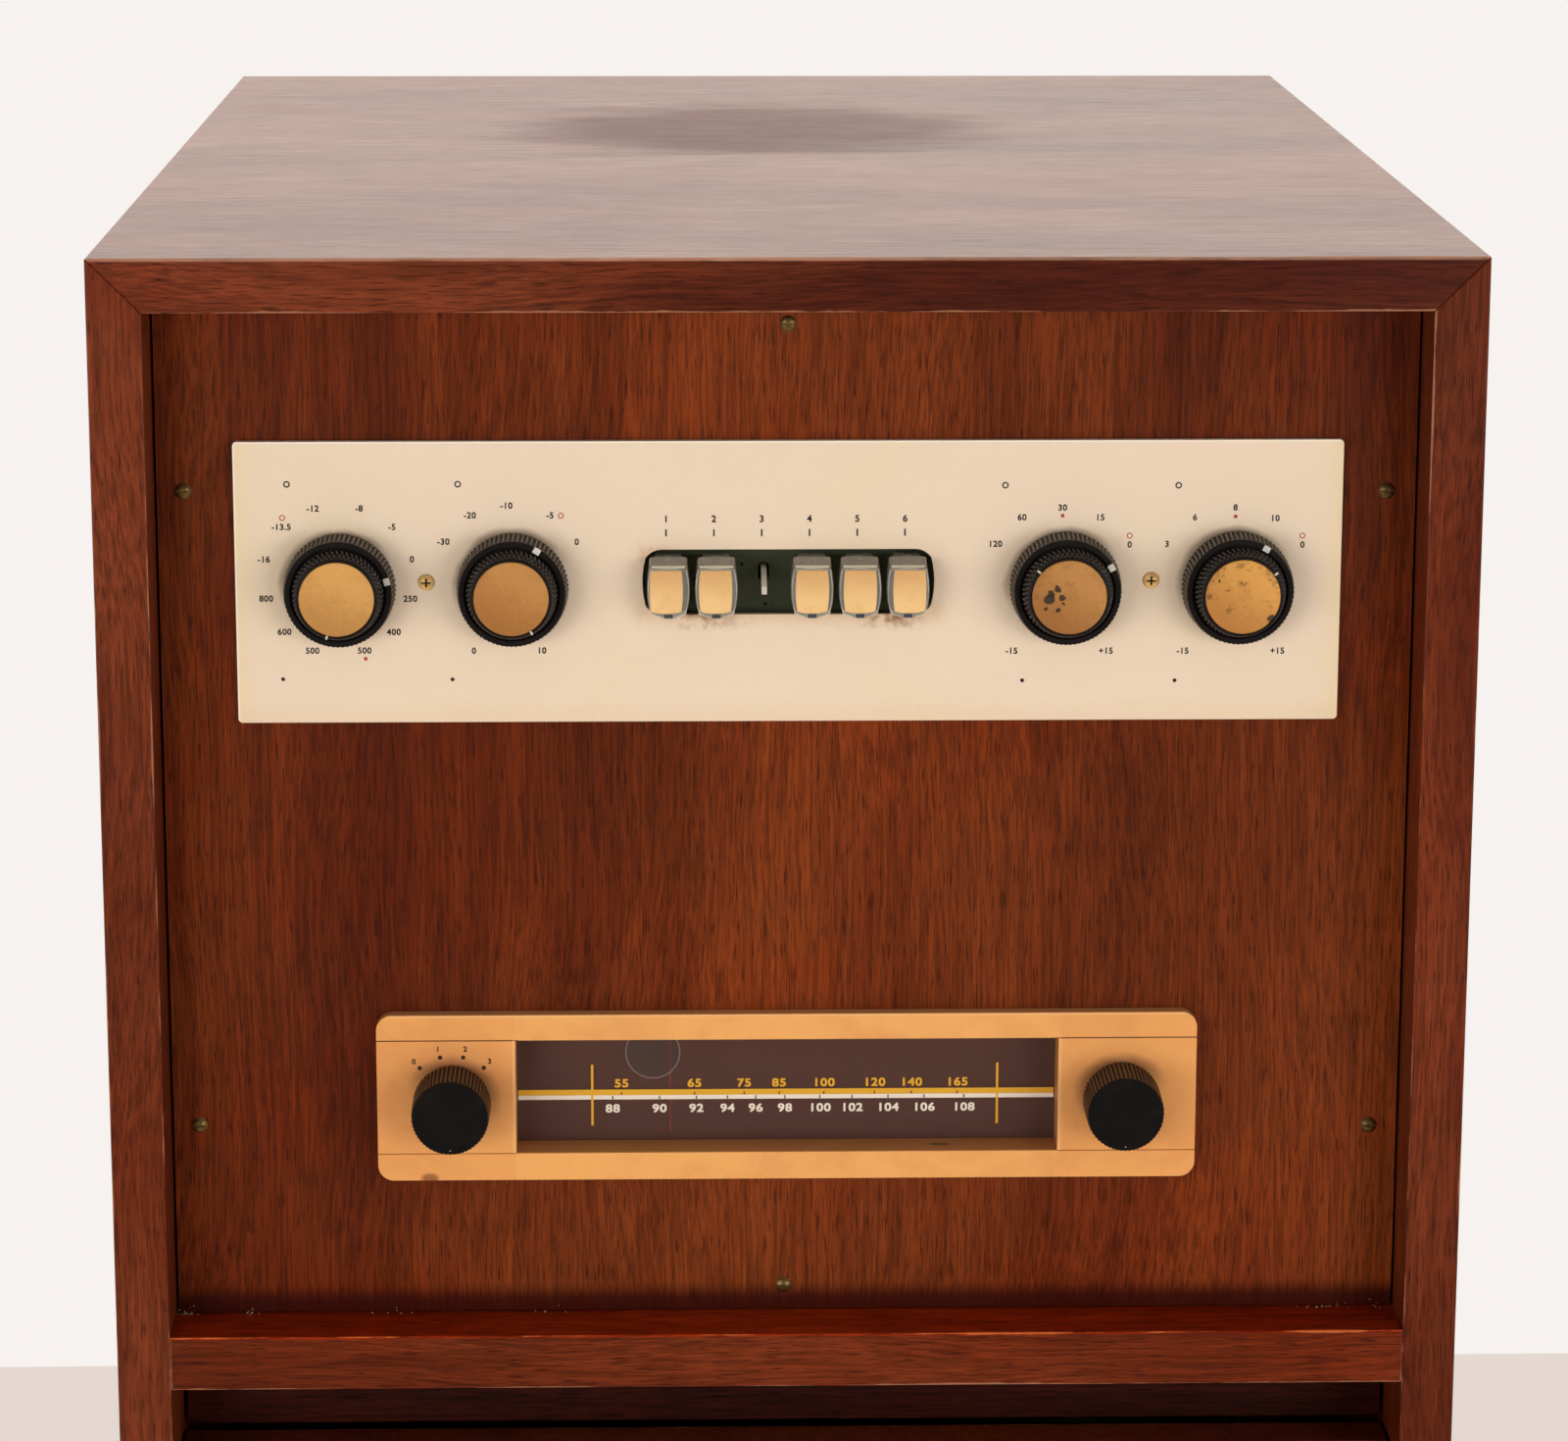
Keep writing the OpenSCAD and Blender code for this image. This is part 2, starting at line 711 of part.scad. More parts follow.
// Bent steel chassis that stands on the shelf and carries the dial's rail
module tuner_chassis() {
    w = tuner_half_w;
    y0 = tuner_plate_y;
    color(steel) {
        difference() {
            block([-w, y0, tuner_base_z], [w, y0 + sheet_t, rail_z + 8]);
            translate([eye_xz[0], 0, eye_xz[1]]) rod_y(eye_r + 0.3, y0 - 1, y0 + 3);
            for (sx = [-1, 1]) translate([sx * tuner_knob_x, 0, tuner_shaft_z])
                rod_y(shaft_r + 0.3, y0 - 1, y0 + 3);
        }
        for (side = [0, 1]) mirror([side, 0, 0]) {
            block([w - sheet_t, panel_back_y, tuner_base_z], [w, y0 + 1, rail_z + 8]);
            block(
                [w - sheet_t, panel_back_y + cleat + 0.5, shelf_top],
                [w, tuner_back_y, tuner_base_z + 1]
            );
            block([96, rail_y - 2, rail_z - 3], [98, y0 + 1, rail_z + 3]);
        }
        block([-w, y0, tuner_base_z], [w, tuner_back_y, tuner_base_z + sheet_t]);
        block([-w, tuner_back_y - sheet_t, tuner_base_z], [w, tuner_back_y, tuner_base_z + 46]);
        translate([gang_x, gang_y, 0])
            block([-gang_half_w, 0, tuner_base_z], [gang_half_w, gang_len, gang_z - 28]);
        translate([0, rail_y, rail_z]) rod_x(rail_r, -97, 97);
        for (x = [-60, 75, 105]) translate([x, y0 + 122, tuner_base_z])
            block([-10, -10, 0], [10, 10, 44]);
    }
}

// Glass envelope on its base, standing on z = 0
module tube(r, h) {
    rotate_extrude() polygon([
        [0, 0], [r, 0], [r, h * 0.84], [r * 0.8, h * 0.94], [r * 0.3, h * 0.98], [0, h]
    ]);
}

// All the valves: in the control unit, on the tuner, on the amplifier, and the tuning eye
module vacuum_tubes() {
    color("#b8c0c0") {
        for (x = [-120, -85, 85, 120])
            translate([x, sub_y + 130, plate_z - unit_h / 2 + sheet_t]) tube(9.5, 50);
        for (x = [-110, -85, 90, 118])
            translate([x, tuner_plate_y + 70, tuner_base_z + sheet_t]) tube(9.5, 50);
        for (x = [-70, -20, 30, 80]) translate([x, 90, shelf_top + 50]) tube(16, 84);
        translate([eye_xz[0], glass_y + glass_t + 2.6, eye_xz[1]]) rod_y(eye_r, 0, 62);
    }
}

// --------------------------------------------------------- power amplifier

module amp_chassis() {
    color(steel) difference() {
        block([-120, 60, shelf_top], [120, 240, shelf_top + 50]);
        block([-118, 62, shelf_top - 1], [118, 238, shelf_top + 48]);
    }
}

module amp_transformers() {
    z = shelf_top + 50;
    color(black_plastic) {
        block([-105, 140, z], [-30, 225, z + 80]);
        block([25, 145, z], [95, 215, z + 66]);
    }
}

// ------------------------------------------------------------------ drawer

module drawer_front() {
    x = inner_w - drawer_gap;
    color(walnut) block([-x, drawer_front_y, bay_floor + 2.5], [x, drawer_box_y, drawer_top]);
}

// Two sides and a back, dovetailed to the front on the real piece
module drawer_box() {
    color(ply) {
        for (side = [0, 1]) mirror([side, 0, 0])
            block(
                [box_x - drawer_side_t, drawer_box_y, box_z],
                [box_x, drawer_back_y, box_z + drawer_side_h]
            );
        block(
            [-box_x + drawer_side_t, drawer_back_y - drawer_side_t, box_z],
            [box_x - drawer_side_t, drawer_back_y, box_z + drawer_side_h]
        );
    }
}

// Board that carries the changer, cut out round its works
module motor_board() {
    x = box_x - drawer_side_t;
    color(ply) difference() {
        block([-x, drawer_box_y, motor_board_z], [x, drawer_back_y - drawer_side_t, deck_z]);
        block([-145, deck_front_y + 14, motor_board_z - 1], [145, deck_back_y - 30, deck_z + 1]);
    }
}

// Steel channels on the case's sides
module slide_tracks() {
    x1 = inner_w;
    x0 = inner_w - 10;
    y0 = drawer_box_y + 4;
    y1 = drawer_back_y + 20;
    color(steel) for (side = [0, 1]) mirror([side, 0, 0]) {
        block([x1 - slide_wall, y0, slide_z - slide_half - 2], [x1, y1, slide_z + slide_half + 2]);
        for (z = [slide_z - slide_half - 2, slide_z + slide_half]) block([x0, y0, z], [x1, y1, z + 2]);
    }
}

// Bars on the drawer's sides that run in the channels
module slide_runners() {
    x1 = inner_w - slide_wall - slide_play;
    z = slide_half - slide_play;
    color(steel) for (side = [0, 1]) mirror([side, 0, 0]) {
        block([box_x, drawer_box_y, slide_z - 20], [box_x + slide_wall, drawer_back_y, slide_z + 20]);
        block([box_x, drawer_box_y, slide_z - z], [x1, drawer_back_y, slide_z + z]);
    }
}

// ---------------------------------------------------------- record changer

// Pressed steel deck on four feet, with the arm's socket and rest and the idler's pin
module changer_deck() {
    color(cream) {
        difference() {
            block([-deck_x, deck_front_y, deck_z + 2], [deck_x, deck_back_y, deck_top]);
            block(
                [-deck_x + deck_t, deck_front_y + deck_t, deck_z],
                [deck_x - deck_t, deck_back_y - deck_t, deck_top - deck_t]
            );
            translate([pulley_mid[0], pulley_mid[1], 0]) rod_z(pulley_r + 3, deck_z, deck_top + 1);
            translate([arm_mid[0], arm_mid[1], 0]) rod_z(shaft_r + fit, deck_z, deck_top + 1);
            translate([lever_mid[0], lever_mid[1], 0]) rod_z(2.5 + fit, deck_z, deck_top + 1);
        }
        for (sx = [-1, 1], y = [deck_front_y + 20, deck_back_y - 20])
            translate([sx * (deck_x - 14), y, 0]) rod_z(10, deck_z, deck_top - 1);
        translate([arm_mid[0], arm_mid[1], 0]) difference() {
            rod_z(14, deck_top - 1, deck_top + 12);
            rod_z(shaft_r + fit, deck_top - 2, deck_top + 13);
        }
        translate([idler_mid[0], idler_mid[1], 0]) rod_z(2, deck_top - 1, deck_top + 13);
        translate([arm_mid[0], arm_mid[1] - 140, 0]) {
            rod_z(4, deck_top - 1, arm_z - arm_tube_r - 5);
            block([-8, -4, arm_z - arm_tube_r - 5.2], [8, 4, arm_z - arm_tube_r - 0.3]);
        }
    }
}

module platter() {
    r = platter_r;
    color(steel) translate([platter_mid[0], platter_mid[1], 0]) rotate_extrude() polygon([
        [sleeve_r + fit, platter_z + 2.5], [12, platter_z + 2.5], [12, platter_top - platter_skin],
        [r - platter_wall, platter_top - platter_skin], [r - platter_wall, platter_z], [r, platter_z],
        [r, platter_top - 1], [r - 1, platter_top], [sleeve_r + fit, platter_top]
    ]);
}

module spindle() {
    color(steel) translate([platter_mid[0], platter_mid[1], 0]) rotate_extrude() polygon([
        [0, deck_top], [11, deck_top], [11, platter_z + 1.5], [sleeve_r, platter_z + 1.5],
        [sleeve_r, platter_top], [spindle_r, platter_top + 0.4],
        [spindle_r, platter_top + spindle_rise - 3], [spindle_r - 2, platter_top + spindle_rise],
        [0, platter_top + spindle_rise]
    ]);
}

module changer_motor() {
    top = deck_top - deck_t - 16;
    color(steel) translate([pulley_mid[0], pulley_mid[1], 0]) {
        difference() {
            rod_z(motor_r, top - motor_len, top);
            rod_z(2.5 + fit, top - motor_len + 14, top + 1);
        }
        for (a = [0, 120, 240]) rotate([0, 0, a]) translate([motor_r - 6, 0, 0])
            rod_z(3, top - 1, deck_top - deck_t);
    }
}

module motor_pulley() {
    top = deck_top - deck_t - 16;
    color(brass) translate([pulley_mid[0], pulley_mid[1], 0]) {
        rod_z(2.5, top - motor_len + 15, deck_top + 4);
        rod_z(pulley_r, deck_top + 3, deck_top + 13);
    }
}

module idler_wheel() {
    color(black_plastic) translate([idler_mid[0], idler_mid[1], 0]) difference() {
        rod_z(idler_r, deck_top + 5, deck_top + 11);
        rod_z(2 + fit, deck_top + 4, deck_top + 12);
    }
}

// Yoke that turns in the deck's socket and holds the arm's cross pin
module arm_gimbal() {
    color(steel) translate([arm_mid[0], arm_mid[1], 0]) difference() {
        union() {
            rod_z(shaft_r, deck_top - 1, deck_top + 14);
            rod_z(14, deck_top + 12.4, deck_top + 16);
            for (x = [-14, 11]) block([x, -6, deck_top + 15], [x + 3, 6, arm_z + 6]);
        }
        translate([0, 0, arm_z]) rod_x(1.5 + fit, -15, 15);
    }
}

// Arm tube with its head at the front, its weight at the back and its cross pin
module tonearm() {
    color(cream) translate([arm_mid[0], arm_mid[1], arm_z]) {
        rod_x(1.5, -13.8, 13.8);
        block([-9, -14, -6], [9, 28, 6]);
        rod_y(arm_tube_r, 50 - arm_len, 34);
        rod_y(12, 32, 52);
        block([-9, -arm_len, -5], [9, 52 - arm_len, 5]);
        block([-5, 6 - arm_len, -8], [5, 30 - arm_len, -4]);
    }
}

module control_lever() {
    color(black_plastic) translate([lever_mid[0], lever_mid[1], 0]) {
        rod_z(2.5, deck_top - 6, deck_top + 1);
        rod_z(6, deck_top + 0.4, deck_top + 5);
        block([-2.5, -22, deck_top + 2], [2.5, 0, deck_top + 5]);
    }
}

// ---------------------------------------------------------------- assembly

case_top();
case_side(-1);  // case_side_left
case_side(1);  // case_side_right
case_bottom();
plinth();
mid_shelf();
drawer_apron();
panel_cleats();
control_panel();
back_panel();
wood_screws();

preamp_faceplate();
faceplate_screws();
preamp_subpanel();
preamp_chassis();
dual_controls();
ring_knob(control_x[0], 75);  // rolloff_ring
inner_knob(control_x[0], 195);  // turnover_knob
ring_knob(control_x[1], 30);  // contour_ring
inner_knob(control_x[1], 150);  // volume_knob
ring_knob(control_x[2], 60);  // low_filter_ring
inner_knob(control_x[2], -50);  // bass_knob
ring_knob(control_x[3], 30);  // high_filter_ring
inner_knob(control_x[3], 55);  // treble_knob
key_lever(0);  // key_lever_1
key_lever(1);  // key_lever_2
key_lever(bare_key);  // key_lever_3
key_lever(3);  // key_lever_4
key_lever(4);  // key_lever_5
key_lever(5);  // key_lever_6
key_cap(0);  // key_cap_1
key_cap(1);  // key_cap_2
key_cap(3);  // key_cap_4
key_cap(4);  // key_cap_5
key_cap(5);  // key_cap_6

tuner_escutcheon();
dial_glass();
dial_pointer();
tuner_knob(-tuner_knob_x, tuner_plate_y + 12);  // function_knob
tuner_knob(tuner_knob_x, tuner_plate_y + 12);  // tuning_knob
gang_frame();
gang_rotor();
tuner_chassis();
vacuum_tubes();
amp_chassis();
amp_transformers();

drawer_front();
drawer_box();
motor_board();
slide_tracks();
slide_runners();
changer_deck();
platter();
spindle();
tonearm();
arm_gimbal();
changer_motor();
motor_pulley();
idler_wheel();
control_lever();
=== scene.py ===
"""Looks of a walnut radio phonograph console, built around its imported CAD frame.

Everything is in metres in the console's own frame: X to the right, the front towards -Y,
Z up, with the origin on the floor under the middle of the case.
"""

from __future__ import annotations

import json
import logging
import math
import random
from dataclasses import dataclass
from enum import Enum
from typing import Any, Callable, Iterable, Sequence

import bmesh
import bpy
from mathutils import Matrix, Vector

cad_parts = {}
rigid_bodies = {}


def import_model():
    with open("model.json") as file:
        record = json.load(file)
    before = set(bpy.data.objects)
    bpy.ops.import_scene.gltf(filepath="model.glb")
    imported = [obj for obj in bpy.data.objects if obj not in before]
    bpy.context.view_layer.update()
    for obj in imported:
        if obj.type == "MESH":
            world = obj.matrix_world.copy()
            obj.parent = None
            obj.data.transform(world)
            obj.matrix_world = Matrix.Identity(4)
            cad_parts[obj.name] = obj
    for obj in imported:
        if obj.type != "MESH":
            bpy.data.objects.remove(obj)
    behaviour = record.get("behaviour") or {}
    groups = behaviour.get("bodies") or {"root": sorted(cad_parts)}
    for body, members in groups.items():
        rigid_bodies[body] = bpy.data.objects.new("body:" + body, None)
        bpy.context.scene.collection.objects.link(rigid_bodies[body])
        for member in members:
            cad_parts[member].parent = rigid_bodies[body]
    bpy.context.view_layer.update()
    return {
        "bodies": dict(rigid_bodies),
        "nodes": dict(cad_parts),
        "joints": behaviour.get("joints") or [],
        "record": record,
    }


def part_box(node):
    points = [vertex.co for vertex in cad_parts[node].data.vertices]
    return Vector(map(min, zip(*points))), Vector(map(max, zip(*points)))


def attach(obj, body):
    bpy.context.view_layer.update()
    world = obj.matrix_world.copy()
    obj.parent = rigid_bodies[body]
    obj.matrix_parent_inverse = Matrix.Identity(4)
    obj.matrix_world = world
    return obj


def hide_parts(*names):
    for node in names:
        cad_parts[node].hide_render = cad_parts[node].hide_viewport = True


LOG = logging.getLogger("console")
MM = 0.001
INK = 0.02  # thickness of print, millimetres
BOLD = 0.026  # how much a stroke is widened each way, for each unit of its figure's height
STAIN = (-0.01, 0.09)  # middle of the dull stain in the top, metres
LAYER = 0.003  # step between copies of a figure, millimetres
CAPITAL = 0.7  # height of a figure for each unit of the font's size
Colour = tuple[float, float, float]
Point = tuple[float, float, float]
Socket = Any


def srgb(red: int, green: int, blue: int) -> Colour:
    """Turn an 8-bit display colour into the linear colour that shaders take.

    Args:
        red: red, 0 to 255.
        green: green, 0 to 255.
        blue: blue, 0 to 255.

    Returns:
        The linear colour.
    """
    return tuple(
        c / 3294.6 if c <= 10 else ((c / 255 + 0.055) / 1.055) ** 2.4 for c in (red, green, blue)
    )


def deeper(colour: Colour, by: float) -> Colour:
    """Return a darker copy of a colour."""
    return tuple(part * by for part in colour)


class Axis(Enum):
    """Direction of a board's grain, as the order of axes that puts it on Z."""

    X = (1, 2, 0)
    Y = (0, 2, 1)
    Z = (0, 1, 2)


# ------------------------------------------------------------------ node trees


class Graph:
    """Shorthand for filling one node tree."""

    def __init__(self, tree: bpy.types.NodeTree) -> None:
        """Keep the tree and empty it."""
        self.tree = tree
        tree.nodes.clear()

    def put(self, socket: Socket, value: Any) -> None:
        """Link or set one input.

        Args:
            socket: the input socket.
            value: an output socket, a number, or a tuple.
        """
        if isinstance(value, bpy.types.NodeSocket):
            self.tree.links.new(value, socket)
        elif socket.type == "RGBA" and len(value) == 3:
            socket.default_value = (*value, 1.0)
        else:
            socket.default_value = value

    def node(self, kind: str, inputs: dict[Any, Any] | None = None, **settings: Any) -> bpy.types.Node:
        """Add a node.

        Args:
            kind: the node's type without its ShaderNode prefix.
            inputs: values or links by input name or index.
            **settings: the node's own properties.

        Returns:
            The node.
        """
        node = self.tree.nodes.new("ShaderNode" + kind)
        for key, value in settings.items():
            setattr(node, key, value)
        for key, value in (inputs or {}).items():
            self.put(node.inputs[key], value)
        return node

    def place(self) -> Socket:
        """Return the Object coordinates."""
        return self.node("TexCoord").outputs["Object"]

    def math(self, operation: str, first: Any, second: Any = 0.0, third: Any = 0.0) -> Socket:
        """Return the result of a Math node."""
        return self.node("Math", {0: first, 1: second, 2: third}, operation=operation).outputs[0]

    def times(self, first: Any, second: Any) -> Socket:
        """Return the product of two numbers."""
        return self.math("MULTIPLY", first, second)

    def scaled(self, value: Any, by: Any, plus: Any) -> Socket:
        """Return a number times another, plus a third."""
        return self.math("MULTIPLY_ADD", value, by, plus)

    def plus(self, first: Any, second: Any) -> Socket:
        """Return the sum of two numbers."""
        return self.math("ADD", first, second)

    def minus(self, first: Any, second: Any) -> Socket:
        """Return the first number less the second."""
        return self.math("SUBTRACT", first, second)

    def over(self, colour: Any, tint: Any, mask: Any, strength: Any = None) -> Socket:
        """Lay a tint over a colour where a mask is bright.

        Args:
            colour: the colour below.
            tint: the colour on top.
            mask: how much of the tint shows.
            strength: how much of it shows where the mask is 1, or None for all.

        Returns:
            The new colour.
        """
        return self.mix(mask if strength is None else self.times(mask, strength), colour, tint)

    def vector(self, operation: str, first: Any, second: Any = (0.0, 0.0, 0.0)) -> Socket:
        """Return the vector result of a Vector Math node."""
        return self.node("VectorMath", {0: first, 1: second}, operation=operation).outputs[0]

    def distance(self, first: Any, second: Any) -> Socket:
        """Return the distance between two points."""
        return self.node("VectorMath", {0: first, 1: second}, operation="DISTANCE").outputs["Value"]

    def length(self, vector: Any) -> Socket:
        """Return a vector's length."""
        return self.node("VectorMath", {0: vector}, operation="LENGTH").outputs["Value"]

    def size(self, value: Any) -> Socket:
        """Return a number without its sign."""
        return self.math("ABSOLUTE", value)

    def dirt(self, place: Any, scale: float) -> dict[str, Socket]:
        """Return patches, dirt and specks at one scale."""
        return self.group(blotch_group(), Vector=place, Scale=scale)

    def split(self, vector: Any) -> tuple[Socket, Socket, Socket]:
        """Return a vector's three parts."""
        return tuple(self.node("SeparateXYZ", {0: vector}).outputs)

    def join(self, x: Any, y: Any, z: Any) -> Socket:
        """Return a vector made of three parts."""
        return self.node("CombineXYZ", {0: x, 1: y, 2: z}).outputs[0]

    def mix(self, factor: Any, first: Any, second: Any, blend: str = "MIX") -> Socket:
        """Return two colours mixed."""
        node = self.node("Mix", {0: factor, 6: first, 7: second}, data_type="RGBA", blend_type=blend)
        return node.outputs[2]

    def step(self, value: Any, low: float, high: float, start: float = 0.0, end: float = 1.0) -> Socket:
        """Return a value mapped smoothly from one range to another and held at its ends."""
        inputs = {0: value, 1: low, 2: high, 3: start, 4: end}
        return self.node("MapRange", inputs, interpolation_type="SMOOTHSTEP").outputs[0]

    def fall(self, value: Any, low: Any, high: Any) -> Socket:
        """Return 1 below a range, 0 above it, and a smooth fall between."""
        return self.step(value, low, high, 1.0, 0.0)

    def stretched(self, vector: Any, by: Any) -> Socket:
        """Return a vector multiplied part by part."""
        return self.vector("MULTIPLY", vector, by)

    def ramp(self, factor: Any, stops: Sequence[tuple[float, Colour]]) -> Socket:
        """Return the colour of a colour ramp.

        Args:
            factor: the place on the ramp.
            stops: positions with their colours, in order.

        Returns:
            The colour socket.
        """
        node = self.node("ValToRGB", {0: factor})
        band = node.color_ramp
        while len(band.elements) < len(stops):
            band.elements.new(0.5)
        for element, (position, colour) in zip(band.elements, stops):
            element.position = position
            element.color = (*colour, 1.0)
        return node.outputs[0]

    def noise(
        self, vector: Any, scale: float, detail: float = 2.0, rough: float = 0.5, bend: float = 0.0
) -> Socket:
        """Return a noise value from 0 to 1."""
        inputs = {"Vector": vector, "Scale": scale, "Detail": detail, "Roughness": rough, "Distortion": bend}
        return self.node("TexNoise", inputs).outputs[0]

    def cells(self, vector: Any, scale: float) -> Socket:
        """Return the distance to the nearest of scattered points."""
        return self.node("TexVoronoi", {"Vector": vector, "Scale": scale}).outputs["Distance"]

    def group(self, tree: bpy.types.NodeTree, **inputs: Any) -> dict[str, Socket]:
        """Place a node group.

        Args:
            tree: the group.
            **inputs: its inputs by name.

        Returns:
            Its outputs by name.
        """
        node = self.tree.nodes.new("ShaderNodeGroup")
        node.node_tree = tree
        for key, value in inputs.items():
            self.put(node.inputs[key], value)
        return {socket.name: socket for socket in node.outputs}

    def surface(self, colour: Any, rough: Any, bump: Any = None, depth: float = 0.1, **sockets: Any) -> None:
        """Finish a material with a Principled shader.

        Args:
            colour: base colour.
            rough: roughness.
            bump: height from 0 to 1, or None.
            depth: what a height of 1 stands for, in millimetres.
            **sockets: other inputs of the shader, with underscores for spaces.
        """
        shader = self.node("BsdfPrincipled", {"Base Color": colour, "Roughness": rough})
        for key, value in sockets.items():
            self.put(shader.inputs[key.replace("_", " ")], value)
        if bump is not None:
            relief = self.node("Bump", {"Height": bump, "Strength": 1.0, "Distance": depth * MM})
            self.put(shader.inputs["Normal"], relief.outputs[0])
        out = self.node("OutputMaterial")
        self.put(out.inputs["Surface"], shader.outputs[0])


def shader_group(
    name: str,
    inputs: Sequence[tuple[str, str]],
    outputs: Sequence[tuple[str, str]],
    fill: Callable[[Graph, dict[str, Socket]], dict[str, Socket]],
) -> bpy.types.NodeTree:
    """Build a node group once.

    Args:
        name: its name.
        inputs: names and socket types of its inputs.
        outputs: names and socket types of its outputs.
        fill: makes its nodes from the inputs and returns the outputs.

    Returns:
        The group.
    """
    tree = bpy.data.node_groups.get(name)
    if tree is not None:
        return tree
    tree = bpy.data.node_groups.new(name, "ShaderNodeTree")
    graph = Graph(tree)
    for label, kind in inputs:
        tree.interface.new_socket(name=label, in_out="INPUT", socket_type=kind)
    for label, kind in outputs:
        tree.interface.new_socket(name=label, in_out="OUTPUT", socket_type=kind)
    source = tree.nodes.new("NodeGroupInput")
    result = fill(graph, {socket.name: socket for socket in source.outputs if socket.name})
    target = tree.nodes.new("NodeGroupOutput")
    for label, _ in outputs:
        graph.put(target.inputs[label], result[label])
    return tree


NUMBER, VECTOR = "NodeSocketFloat", "NodeSocketVector"


def grain_group() -> bpy.types.NodeTree:
    """Return the wood figure: broad bands, fibres and open pores along Z."""

    def fill(graph: Graph, given: dict[str, Socket]) -> dict[str, Socket]:
        """Make the nodes."""
        shift = graph.stretched(graph.join(given["Seed"], given["Seed"], given["Seed"]), (1.7, 3.1, 5.3))
        place = graph.vector("ADD", given["Vector"], shift)
        slow = graph.stretched(place, (1.0, 1.0, 0.35))
        bend = graph.scaled(graph.noise(slow, 9.0, 2.0), 0.05, -0.025)
        x, y, z = graph.split(place)
        bent = graph.join(graph.plus(x, bend), graph.plus(y, bend), z)
        band = graph.noise(graph.stretched(bent, (1.0, 1.0, 0.07)), 30.0, 4.0, 0.6)
        ring = graph.noise(graph.stretched(bent, (1.0, 1.0, 0.045)), 95.0, 3.0, 0.55)
        fibre = graph.noise(graph.stretched(bent, (1.0, 1.0, 0.035)), 760.0, 3.0, 0.65)
        pore = graph.noise(graph.stretched(place, (1.0, 1.0, 0.06)), 1700.0, 1.0, 0.4)
        mass = graph.noise(slow, 6.0, 2.0)
        return {
            "Band": band,
            "Ring": ring,
            "Fibre": fibre,
            "Pore": graph.step(pore, 0.56, 0.68),
            "Mass": mass,
        }

    outputs = [(name, NUMBER) for name in ("Band", "Ring", "Fibre", "Pore", "Mass")]
    return shader_group("wood_grain", [("Vector", VECTOR), ("Seed", NUMBER)], outputs, fill)


def edge_group() -> bpy.types.NodeTree:
    """Return the distance from a point on a board's surface to its nearest edge."""

    def fill(graph: Graph, given: dict[str, Socket]) -> dict[str, Socket]:
        """Make the nodes."""
        away = graph.vector("ABSOLUTE", graph.vector("SUBTRACT", given["Vector"], given["Middle"]))
        x, y, z = graph.split(graph.vector("SUBTRACT", given["Half"], away))
        near = graph.math("MINIMUM", x, y)
        far = graph.math("MAXIMUM", x, y)
        return {"Distance": graph.math("MAXIMUM", near, graph.math("MINIMUM", far, z))}

    inputs = [("Vector", VECTOR), ("Middle", VECTOR), ("Half", VECTOR)]
    return shader_group("board_edge", inputs, [("Distance", NUMBER)], fill)


def wear_group() -> bpy.types.NodeTree:
    """Return a broken mask along an edge, from the distance to it."""

    def fill(graph: Graph, given: dict[str, Socket]) -> dict[str, Socket]:
        """Make the nodes."""
        patch = graph.noise(given["Vector"], 22.0, 4.0, 0.65)
        reach = graph.times(given["Width"], graph.step(patch, 0.38, 0.75, 0.15, 1.6))
        ratio = graph.math("DIVIDE", given["Distance"], reach)
        return {"Mask": graph.fall(ratio, 0.5, 1.0)}

    inputs = [("Vector", VECTOR), ("Distance", NUMBER), ("Width", NUMBER)]
    return shader_group("edge_wear", inputs, [("Mask", NUMBER)], fill)


def halo_group() -> bpy.types.NodeTree:
    """Return a soft round mask about an axis along Y, for grime and painted shade round a knob."""

    def fill(graph: Graph, given: dict[str, Socket]) -> dict[str, Socket]:
        """Make the nodes."""
        flat = (1.0, 0.0, 1.0)
        here = graph.stretched(given["Vector"], flat)
        middle = graph.stretched(given["Middle"], flat)
        ripple = graph.scaled(graph.noise(given["Vector"], 60.0, 3.0), 0.004, -0.002)
        gap = graph.plus(graph.minus(graph.distance(here, middle), given["Radius"]), ripple)
        return {"Mask": graph.fall(graph.math("DIVIDE", gap, given["Soft"]), 0.0, 1.0)}

    inputs = [("Vector", VECTOR), ("Middle", VECTOR), ("Radius", NUMBER), ("Soft", NUMBER)]
    return shader_group("round_halo", inputs, [("Mask", NUMBER)], fill)


def blotch_group() -> bpy.types.NodeTree:
    """Return uneven patches, fine dirt and specks."""

    def fill(graph: Graph, given: dict[str, Socket]) -> dict[str, Socket]:
        """Make the nodes."""
        place = graph.stretched(given["Vector"], graph.join(given["Scale"], given["Scale"], given["Scale"]))
        return {
            "Patch": graph.step(graph.noise(place, 1.0, 4.0, 0.6, 0.6), 0.42, 0.72),
            "Dirt": graph.noise(place, 9.0, 5.0, 0.7),
            "Speck": graph.fall(graph.cells(place, 9.0), 0.07, 0.16),
        }

    outputs = [("Patch", NUMBER), ("Dirt", NUMBER), ("Speck", NUMBER)]
    return shader_group("uneven_dirt", [("Vector", VECTOR), ("Scale", NUMBER)], outputs, fill)


# -------------------------------------------------------------------- finishes


@dataclass(frozen=True)
class Finish:
    """A material that is made once, under its own name."""

    name: str

    def make(self) -> bpy.types.Material:
        """Return the material."""
        label = f"look_{self.name}"
        material = bpy.data.materials.get(label)
        if material is None:
            material = bpy.data.materials.new(label)
            material.use_nodes = True
            self.fill(Graph(material.node_tree))
        return material

    def fill(self, graph: Graph) -> None:
        """Make the material's nodes."""
        raise NotImplementedError


